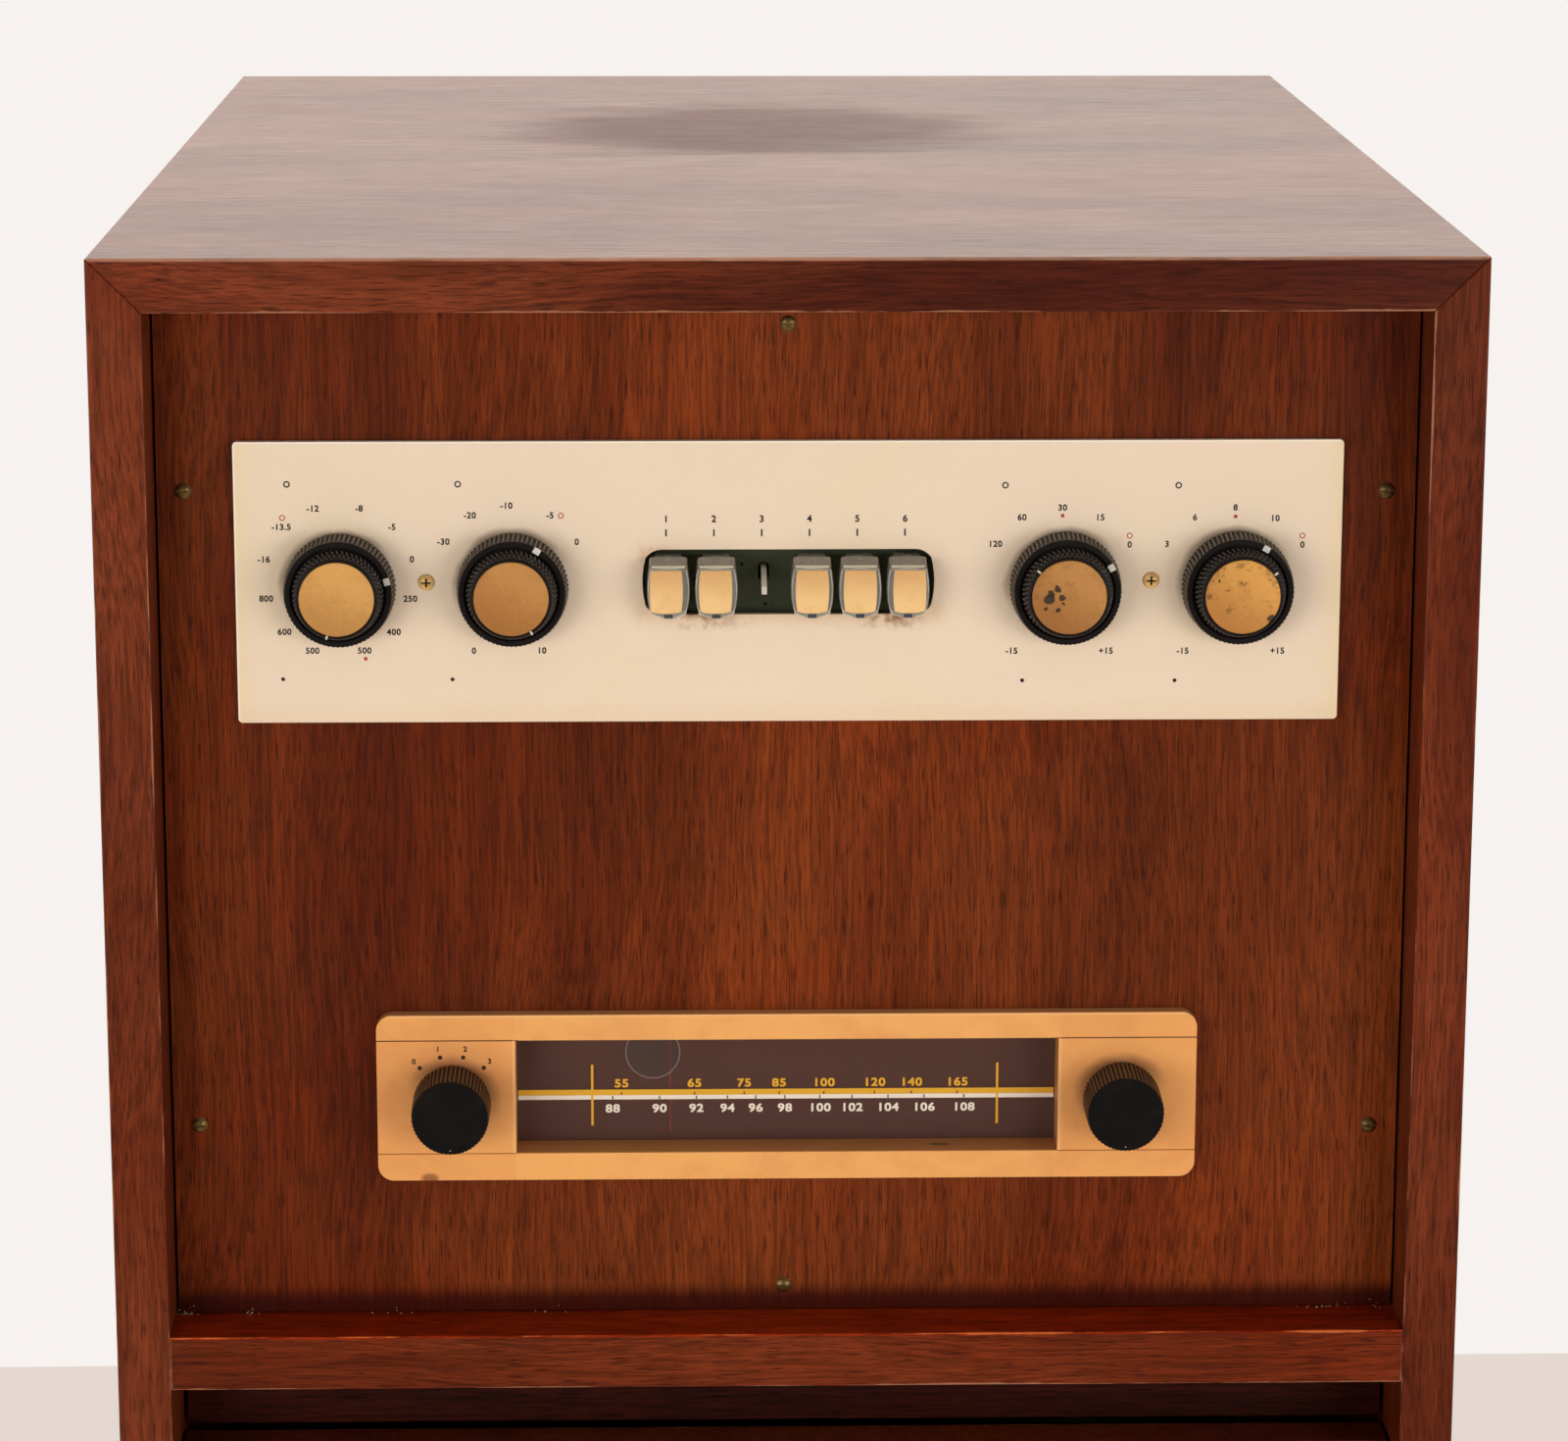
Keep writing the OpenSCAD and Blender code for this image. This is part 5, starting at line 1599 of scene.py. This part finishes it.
@dataclass
class ControlUnit:
    """The cream faceplate with its four pairs of knobs and its six keys."""

    builder: Builder
    figure: float = 2.25
    ring_radius: float = 20.9
    ring_front: float = 13.0
    knob_radius: float = 16.9
    knob_front: float = 22.0
    disc_radius: float = 13.8
    ring_teeth: int = 72
    knob_teeth: int = 56
    window_x: float = 0.2
    window_half: tuple[float, float] = (54.2, 12.3)
    tick_rise: float = 18.6
    number_rise: float = 23.7
    number_shift: float = -0.8

    def controls(self) -> list[Control]:
        """Return the four pairs from left to right."""
        return [
            Control("rolloff_ring", "turnover_knob", 75, 195, (
                Mark("-13.5", -21.3, 22.9), Mark(
                    RING, -20.9, 26.4, True
), Mark("-12", -9.6, 29.8), Mark("-8", 7.5, 29.8),
                Mark("-5", 19.5, 22.8), Mark(
                    "-16", -28.0, 10.7
), Mark("0", 26.7, 10.6), Mark("800", -27.4, -4.1),
                Mark("250", 25.9, -4.3), Mark(
                    "600", -20.9, -16.7
), Mark("400", 19.6, -16.9), Mark("500", -10.7, -23.9),
                Mark("500", 8.6, -23.9), Mark(
                    DOT, 9.0, -26.9, True
), Mark(HEAD, -19.0, 39.0), Mark(FOOT, -21.8, -34.6),
            )),
            Control("contour_ring", "volume_knob", 30, 150, (
                Mark(
                    "-30", -25.5, 17.2
), Mark("-20", -15.6, 27.1), Mark("-10", -2.1, 30.7), Mark("-5", 14.0, 27.0),
                Mark(
                    RING, 18.0, 27.0, True
), Mark("0", 23.8, 17.0), Mark("0", -14.7, -24.1), Mark("10", 10.5, -24.1),
                Mark(HEAD, -19.9, 38.9), Mark(FOOT, -22.8, -34.9),
            ), light=srgb(214, 152, 80), deep=srgb(186, 124, 60), chipped=True),
            Control("low_filter_ring", "bass_knob", 60, -50, (
                Mark("120", -26.1, 15.8), Mark("60", -16.3, 25.8), Mark("30", -1.3, 29.4), Mark(
                    DOT, -1.25, 26.5, True
),
                Mark("15", 12.7, 25.7), Mark("0", 23.8, 15.4), Mark(
                    RING, 23.8, 18.9, True
), Mark("-15", -19.6, -24.8),
                Mark("+15", 15.6, -24.9), Mark(HEAD, -22.6, 38.0), Mark(FOOT, -15.5, -36.0),
            ), (
                (-7.3, -0.4, 1.9), (-6.6, 1.6, 1.2), (-4.7, 3.3, 1.3), (-2.6, -0.3, 1.4), (-2.3, -2.2, 1.0),
                (-8.8, -4.4, 0.9), (-4.3, -4.6, 0.8),
            ), 0.25, srgb(208, 148, 80), srgb(180, 120, 60), True),
            Control("high_filter_ring", "treble_knob", 30, 55, (
                Mark("3", -26.2, 15.6), Mark("6", -16.0, 25.6), Mark("8", -1.0, 29.3), Mark(
                    DOT, -0.9, 26.0, True
),
                Mark("10", 13.8, 25.2), Mark("0", 24.2, 15.2), Mark(
                    RING, 24.1, 18.7, True
), Mark("-15", -19.6, -25.0),
                Mark("+15", 15.8, -25.1), Mark(HEAD, -22.3, 37.8), Mark(FOOT, -22.4, -36.2),
            ), ((10.9, -8.6, 1.7), (-9.0, 6.0, 0.4)), 0.7, srgb(234, 170, 84), srgb(206, 140, 68)),
        ]

    def build(self) -> None:
        """Dress the unit and make its knobs, keys and print."""
        dress = self.builder.dress
        middles = []
        for control in self.controls():
            middles.append(self.pair(control))
        window = self.window()
        dress("preamp_faceplate", Faceplate("cream_faceplate", tuple(middles), window), 0.35)
        low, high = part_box("faceplate_screws")
        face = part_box("preamp_faceplate")[0][1]
        screws = tuple((x, 0.0, (low[2] + high[2]) / 2) for x in (low[0] + 3.1 * MM, high[0] - 3.1 * MM))
        dress("faceplate_screws", CrossScrew("bright_brass_screws", screws, face), smooth=True)
        dress(
            "preamp_subpanel",
            Paint("dark_green_enamel", srgb(68, 72, 56), srgb(32, 36, 26), 0.75, 0.95, 0.12, 0.0),
)
        dress("preamp_chassis", Metal("plated_steel"), 0.4)
        dress("dual_controls", Metal("control_cans", srgb(160, 158, 150), rough=0.3), smooth=True)
        self.keys()
        self.prints(middles)

    def window(self) -> tuple[Point, Point]:
        """Return the corners of the key window, at the depth of the keys."""
        low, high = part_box("preamp_faceplate")
        x, z = self.window_x * MM, (low[2] + high[2]) / 2
        half_x, half_z = (half * MM for half in self.window_half)
        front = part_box("key_cap_1")[0][1]
        return ((x - half_x, front, z - half_z), (x + half_x, front, z + half_z))

    def pair(self, control: Control) -> Point:
        """Make one pair of knobs.

        Args:
            control: what the pair is.

        Returns:
            The middle of the pair on the faceplate.
        """
        middle, back = seat(control.ring, "preamp_faceplate")
        body = control.ring.rsplit("_", 1)[0]
        self.ring(control, middle, body, back)
        _, back = seat(control.knob, "preamp_faceplate")
        self.knob(control, middle, control.knob.rsplit("_", 1)[0], back)
        return middle

    def ring(self, control: Control, middle: Point, body: str, back: float) -> None:
        """Make the outer knob of a pair, with its square white mark.

        Args:
            control: the pair.
            middle: where its axis meets the faceplate.
            body: the CAD body.
            back: how far its tube reaches behind the faceplate, as a negative distance to the front.
        """
        r, f = self.ring_radius, self.ring_front
        hole = self.knob_radius + 0.6
        profile = [
            (3.05, back, 0), (4.0, back, 0), (4.0, 4.0, 0), (r - 3.6, 4.0, 0), (r - 3.4, 0.9, 0), (
                r - 0.4, 0.8, 0.4
),
            (r, 1.3, 1), (r - 0.25, 5.0, 1), (r - 0.5, 8.8, 1), (r - 0.75, f - 1.0, 1), (
                r - 0.95, f - 0.45, 0.6
),
            (r - 1.3, f - 0.06, 0), (r - 1.9, f, 0), (
                hole + 0.3, f - 0.02, 0
), (hole, f - 0.4, 0), (hole - 0.1, f - 1.6, 0),
            (3.05, f - 1.6, 0), (3.05, back, 0),
        ]
        shape = fluted(profile, self.ring_teeth, 0.65, 1.3)
        moved(shape, middle, control.ring_turn)
        finish = Knurled("ring_plastic", ridge=srgb(134, 120, 106), face=srgb(30, 25, 23))
        self.builder.piece(shape, control.ring + "_look", body, finish, "ring_black", [control.ring], 50)
        square = block(
            (-1.35 * MM, -(f + 0.16) * MM, 17.45 * MM), (1.35 * MM, -(f - 0.1) * MM, 19.8 * MM), 0.12 * MM
)
        self.builder.piece(
            moved(square, middle, control.ring_turn), control.ring + "_mark", body, WHITE_MARK, "ring_black"
)

    def knob(self, control: Control, middle: Point, body: str, back: float) -> None:
        """Make the inner knob of a pair, with its brass disc and white line.

        Args:
            control: the pair.
            middle: where its axis meets the faceplate.
            body: the CAD body.
            back: how far its shaft reaches behind the faceplate, as a negative distance to the front.
        """
        r, d, b = self.knob_radius, self.disc_radius, self.ring_front
        front = self.knob_front
        rim = front - 0.75
        profile = [
            (0, back, 0), (3.0, back, 0), (3.0, b + 0.4, 0), (
                r - 0.8, b + 0.4, 0.3
), (r, b + 0.9, 1), (r - 0.4, b + 2.7, 1),
            (r - 0.9, b + 4.8, 1), (r - 1.5, rim - 1.1, 1), (
                r - 1.75, rim - 0.6, 0.4
), (r - 1.95, rim - 0.3, 0),
            (d + 0.6, rim - 0.04, 0), (d + 0.3, rim, 0), (d + 0.2, rim - 0.4, 0), (0, rim - 0.4, 0),
        ]
        shape = moved(fluted(profile, self.knob_teeth, 0.9, 1.2), middle, control.knob_turn)
        chips = 0.9 if control.chipped else 0.25
        finish = Knurled(
            "knob_plastic_" + ("chipped" if control.chipped else "plain"), ridge=srgb(104, 96, 90),
            chips=chips,
)
        self.builder.piece(shape, control.knob + "_look", body, finish, "knob_black", [control.knob], 50)
        cap = turned([
            (0, rim - 0.5), (d - 0.2, rim - 0.5), (d, rim - 0.2), (d, front - 0.35), (d - 0.35, front - 0.06),
            (d - 1.2, front), (0, front),
        ])
        spot = (middle[0], 0.0, middle[2])
        finish = Disc("disc_" + body, spot, control.blots, control.pitted, control.light, control.deep)
        self.builder.piece(moved(cap, middle), control.knob + "_disc", body, finish, "brass")
        line = block(
            (-0.35 * MM, -(rim + 0.02) * MM, 14.0 * MM), (0.35 * MM, -(rim - 0.5) * MM, 15.5 * MM),
            0.05 * MM,
)
        self.builder.piece(
            moved(line, middle, control.knob_turn), control.knob + "_line", body, WHITE_MARK, "knob_black"
)

    def keys(self) -> None:
        """Dress the levers and make the caps that are there."""
        lever = Metal("lever_steel", srgb(226, 218, 202), srgb(150, 138, 122), 0.32, 0.4, 0.3, 0.3)
        shifts = {1: -0.8, 2: -0.3, 4: 0.0, 5: 0.0, 6: 0.6}
        for number in range(1, 7):
            self.builder.dress(f"key_lever_{number}", lever, 0.15)
            if number in shifts:
                KeyCap(self.builder, number, shifts[number]).build()

    def prints(self, middles: Sequence[Point]) -> None:
        """Print the figures, dots, rings and ticks on the faceplate."""
        brown, red = [], []
        for control, middle in zip(self.controls(), middles):
            for mark in control.marks:
                sizes = DOTS.get(mark.text)
                shape = dot(*sizes) if sizes else printed(mark.text, self.figure)
                spot = (middle[0] + mark.x * MM, middle[1], middle[2] + mark.z * MM)
                (red if mark.red else brown).append(moved(shape, spot))
        face = middles[0][1]
        top = (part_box("preamp_faceplate")[0][2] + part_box("preamp_faceplate")[1][2]) / 2
        for i in range(1, 7):
            low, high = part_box(f"key_lever_{i}")
            middle = (low[0] + high[0]) / 2 + self.number_shift * MM
            brown.append(moved(bar(0.62, 2.7), (middle, face, top + self.tick_rise * MM)))
            number = printed(str(i), self.figure * 1.1)
            brown.append(moved(number, (middle, face, top + self.number_rise * MM)))
        for shapes, name, ink in (
            (brown, "faceplate_print", Ink("brown_ink", srgb(26, 15, 9), srgb(44, 27, 18))),
            (red, "faceplate_red_print", Ink("red_ink", srgb(176, 48, 36), srgb(206, 120, 96))),
        ):
            self.builder.piece(merged(shapes), name, "case", ink, "cream_enamel")


@dataclass
class Tuner:
    """Escutcheon, dial, knobs and what stands behind them."""

    builder: Builder
    knob_radius: float = 14.9
    knob_out: float = 20.6
    teeth: int = 56
    stop_step: float = 28.0
    stop_radius: float = 18.1
    stop_figure_radius: float = 21.4
    dial_figure: tuple[float, float] = (3.1, 1.18)
    eye: tuple[float, float] = (-51.0, 12.65)

    def build(self) -> None:
        """Dress the tuner and make its knobs, dial print and tubes."""
        dress = self.builder.dress
        knobs = (("function_knob", "function_selector"), ("tuning_knob", "tuning"))
        middles = tuple(self.knob(node, body) for node, body in knobs)
        dress("tuner_escutcheon", Copper("copper_escutcheon", middles), 0.5)
        dress("dial_glass", Clear("dial_pane", srgb(108, 76, 66), 0.12, 0.0, 0.47))
        dress("dial_pointer", Paint("red_pointer", srgb(255, 70, 60), srgb(225, 50, 44), 0.5))
        dress("tuner_chassis", Paint("maroon_chassis", srgb(74, 48, 44), srgb(52, 34, 30), 0.5))
        dress("gang_frame", Metal("gang_plates", srgb(176, 176, 172), rough=0.3))
        dress("gang_rotor", Metal("gang_rotor_plates", srgb(184, 182, 174), rough=0.3), smooth=True)
        dress("vacuum_tubes", Clear("valve_glass", (0.92, 0.94, 0.93), 0.03), smooth=True)
        self.stops(middles[0])
        self.dial()

    def knob(self, node: str, body: str) -> Point:
        """Make one fluted tuner knob.

        Args:
            node: the CAD node that it stands for.
            body: the CAD body.

        Returns:
            The middle of the knob on the escutcheon.
        """
        middle, back = seat(node, "tuner_escutcheon")
        r, out = self.knob_radius, self.knob_out
        profile = [
            (0, back, 0), (3, back, 0), (3, 0.6, 0), (
                r - 0.8, 0.6, 0.4
), (r - 0.1, 1.1, 1), (r - 0.12, 6.0, 1),
            (r - 0.18, 12.0, 1), (r - 0.25, out - 1.4, 1), (
                r - 0.45, out - 0.5, 0.7
), (r - 0.9, out - 0.05, 0),
            (r - 1.8, out, 0), (0, out, 0),
        ]
        shape = moved(fluted(profile, self.teeth, 0.6, 0.0), middle)
        finish = Knurled(
            "tuner_knob_plastic", srgb(38, 26, 18), srgb(118, 88, 62), srgb(16, 15, 14), 0.1, 0.5
)
        self.builder.piece(shape, node + "_look", body, finish, "tuner_knob_black", [node], 50)
        speck = block(
            (-0.16 * MM, -(out + 0.01) * MM, -(r - 2.1) * MM),
            (0.16 * MM, -(out - 0.2) * MM, -(r - 2.5) * MM),
)
        self.builder.piece(
            moved(speck, middle), node + "_mark", body, WHITE_MARK, "tuner_knob_black"
)
        return middle

    def stops(self, middle: Point) -> None:
        """Print a dot and a figure for each stop of the function knob.

        Args:
            middle: the middle of the knob on the escutcheon.
        """
        shapes = []
        for i in range(4):
            angle = math.radians((i - 1.5) * self.stop_step)
            out = Vector((math.sin(angle), 0.0, math.cos(angle)))
            shapes.append(moved(dot(0.85), Vector(middle) + out * self.stop_radius * MM))
            shapes.append(moved(printed(str(i), 2.0), Vector(middle) + out * self.stop_figure_radius * MM))
        ink = Ink("black_ink", srgb(40, 24, 18), srgb(80, 48, 30))
        self.builder.piece(merged(shapes), "escutcheon_print", "case", ink, "copper")

    def dial(self) -> None:
        """Print the two scales on the glass, and the rim of the tuning eye."""
        low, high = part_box("dial_glass")
        middle = (low[2] + high[2]) / 2
        face = low[1]
        amber, white, black = [], [], []

        def at(shape: bmesh.types.BMesh, x: float, z: float, proud: float = 0.0) -> bmesh.types.BMesh:
            """Move a mark to its place on the glass."""
            return moved(shape, (x * MM, face - proud * MM, middle + z * MM))

        for x in (-74.2, 80.8):
            amber.append(at(bar(0.9, 24.3), x, -4.35, 0.015))
        amber.append(at(bar(205.0, 2.2), 0.0, -3.3))
        white.append(at(bar(205.0, 1.7), 0.0, -5.3))
        upper = (
            (55, -63.0), (65, -35.1), (75, -16.1), (85, -2.7), (100, 14.4), (120, 33.8), (140, 47.9),
            (165, 65.5),
)
        lower = (
            (
                88, -66.4
), (90, -48.5), (92, -34.4), (94, -22.5), (96, -11.7), (98, -0.5), (100, 12.9), (102, 25.2),
            (104, 39.0), (106, 52.8), (108, 68.1),
        )
        for value, x in upper:
            amber.append(at(printed(str(value), *self.dial_figure), x, 0.15))
            black.append(at(bar(0.5, 1.1), x, -3.8, 0.02))
        for value, x in lower:
            white.append(at(printed(str(value), *self.dial_figure), x, -9.9))
            black.append(at(bar(0.5, 1.3), x, -5.4, 0.02))
        rim = at(dot(10.5, 10.15), *self.eye)
        lens = at(dot(10.1), *self.eye)
        for shape, name, finish in (
            (merged(amber), "dial_amber_print", Ink("amber_ink", srgb(226, 168, 24), srgb(190, 134, 30))),
            (merged(white), "dial_white_print", Ink("white_ink", srgb(236, 224, 206), srgb(190, 176, 156))),
            (merged(black), "dial_ticks", Ink("dark_ink", srgb(38, 24, 20), srgb(56, 36, 30))),
            (rim, "eye_rim", Ink("eye_rim", srgb(128, 116, 108), srgb(90, 74, 68))),
            (lens, "eye_lens", Clear("eye_haze", srgb(104, 90, 84), 0.3, 0.0, 0.22)),
        ):
            self.builder.piece(shape, name, "case", finish, "dial_glass")


@dataclass
class Amplifier:
    """Power amplifier on the shelf."""

    builder: Builder

    def build(self) -> None:
        """Dress the amplifier."""
        self.builder.dress(
            "amp_chassis", Paint("hammered_steel", srgb(66, 66, 64), srgb(40, 38, 34), 0.45, 0.3, 0.12), 0.8
)
        self.builder.dress(
            "amp_transformers", Paint("black_lacquer", srgb(26, 26, 26), srgb(50, 44, 38), 0.4, 0.4), 2.0
)


@dataclass
class Drawer:
    """Drawer box, its slides and the board inside."""

    builder: Builder

    def build(self) -> None:
        """Dress the drawer."""
        dress = self.builder.dress
        dress("drawer_box", RawBoard("raw_drawer_sides", Axis.Y), 0.5)
        dress(
            "motor_board",
            RawBoard("raw_motor_board", Axis.X, light=srgb(120, 84, 58), dark=srgb(84, 54, 36)), 0.5,
)
        dress("slide_tracks", Metal("zinc_tracks", srgb(168, 168, 164)), 0.2)
        dress("slide_runners", Metal("zinc_runners", srgb(168, 168, 164)), 0.2)


@dataclass
class Changer:
    """Record changer on its deck, with the sizes of its mat in millimetres."""

    builder: Builder
    mat_hole: float = 4.3
    mat_radius: float = 125.0
    mat_height: float = 1.6
    mat_groove: float = 1.1
    first_rib: float = 24.0
    last_rib: float = 118.0
    rib_pitch: float = 5.2

    def build(self) -> None:
        """Dress the changer and lay its mat."""
        dress = self.builder.dress
        dress("changer_deck", Paint("deck_enamel", srgb(196, 182, 156), srgb(140, 118, 88), 0.38, 0.25), 0.8)
        dress("platter", Metal("platter_steel", srgb(158, 158, 154), rough=0.32), smooth=True)
        dress("spindle", Metal("spindle_steel", srgb(200, 200, 198), rough=0.18, patches=0.15), smooth=True)
        dress(
            "tonearm", Paint("arm_enamel", srgb(214, 200, 172), srgb(150, 128, 96), 0.35, 0.2), 0.6,
            smooth=True,
)
        dress("arm_gimbal", Metal("gimbal_steel", srgb(170, 168, 162), rough=0.3), 0.3, smooth=True)
        dress("changer_motor", Metal("motor_steel", srgb(112, 112, 112), rough=0.45), smooth=True)
        dress("motor_pulley", Metal("pulley_brass", srgb(206, 168, 96), rough=0.3), smooth=True)
        dress("idler_wheel", Paint("idler_rubber", srgb(34, 32, 30), srgb(52, 48, 44), 0.8), smooth=True)
        dress(
            "control_lever", Paint("lever_plastic", srgb(40, 34, 30), srgb(70, 60, 50), 0.35), 0.5,
            smooth=True,
)
        self.mat()

    def mat(self) -> None:
        """Lay a ribbed rubber mat on the platter."""
        low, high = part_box("platter")
        middle = ((low[0] + high[0]) / 2, (low[1] + high[1]) / 2, high[2])
        hole, edge, crest, groove = self.mat_hole, self.mat_radius, self.mat_height, self.mat_groove
        profile: list[tuple[float, float]] = [(hole, 0.0), (hole, crest)]
        radius = self.first_rib
        while radius < self.last_rib:
            profile += [
                (radius, crest), (radius + 0.6, groove), (radius + 2.2, groove), (radius + 2.8, crest)
]
            radius += self.rib_pitch
        profile += [(edge - 0.8, crest), (edge, groove), (edge, 0.0), (hole, 0.0)]
        shape = turned(profile, 96)
        matrix = Matrix.Translation(middle) @ Matrix.Rotation(math.radians(-90), 4, "X")
        bmesh.ops.transform(shape, matrix=matrix, verts=shape.verts[:])
        rubber = Paint("mat_rubber", srgb(40, 37, 35), srgb(64, 58, 52), 0.7, 0.4)
        self.builder.piece(shape, "platter_mat", "turntable", rubber, "platter_steel")


def main() -> None:
    """Build the looks of every sub-assembly."""
    logging.basicConfig(level=logging.INFO, format="%(message)s")
    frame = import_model()
    bpy.context.scene.view_settings.view_transform = "Standard"
    Studio().build()
    builder = Builder(frame)
    for assembly in (Case, ControlUnit, Tuner, Amplifier, Drawer, Changer):
        LOG.info("building %s", assembly.__name__)
        assembly(builder).build()


if __name__ == "__main__":
    main()
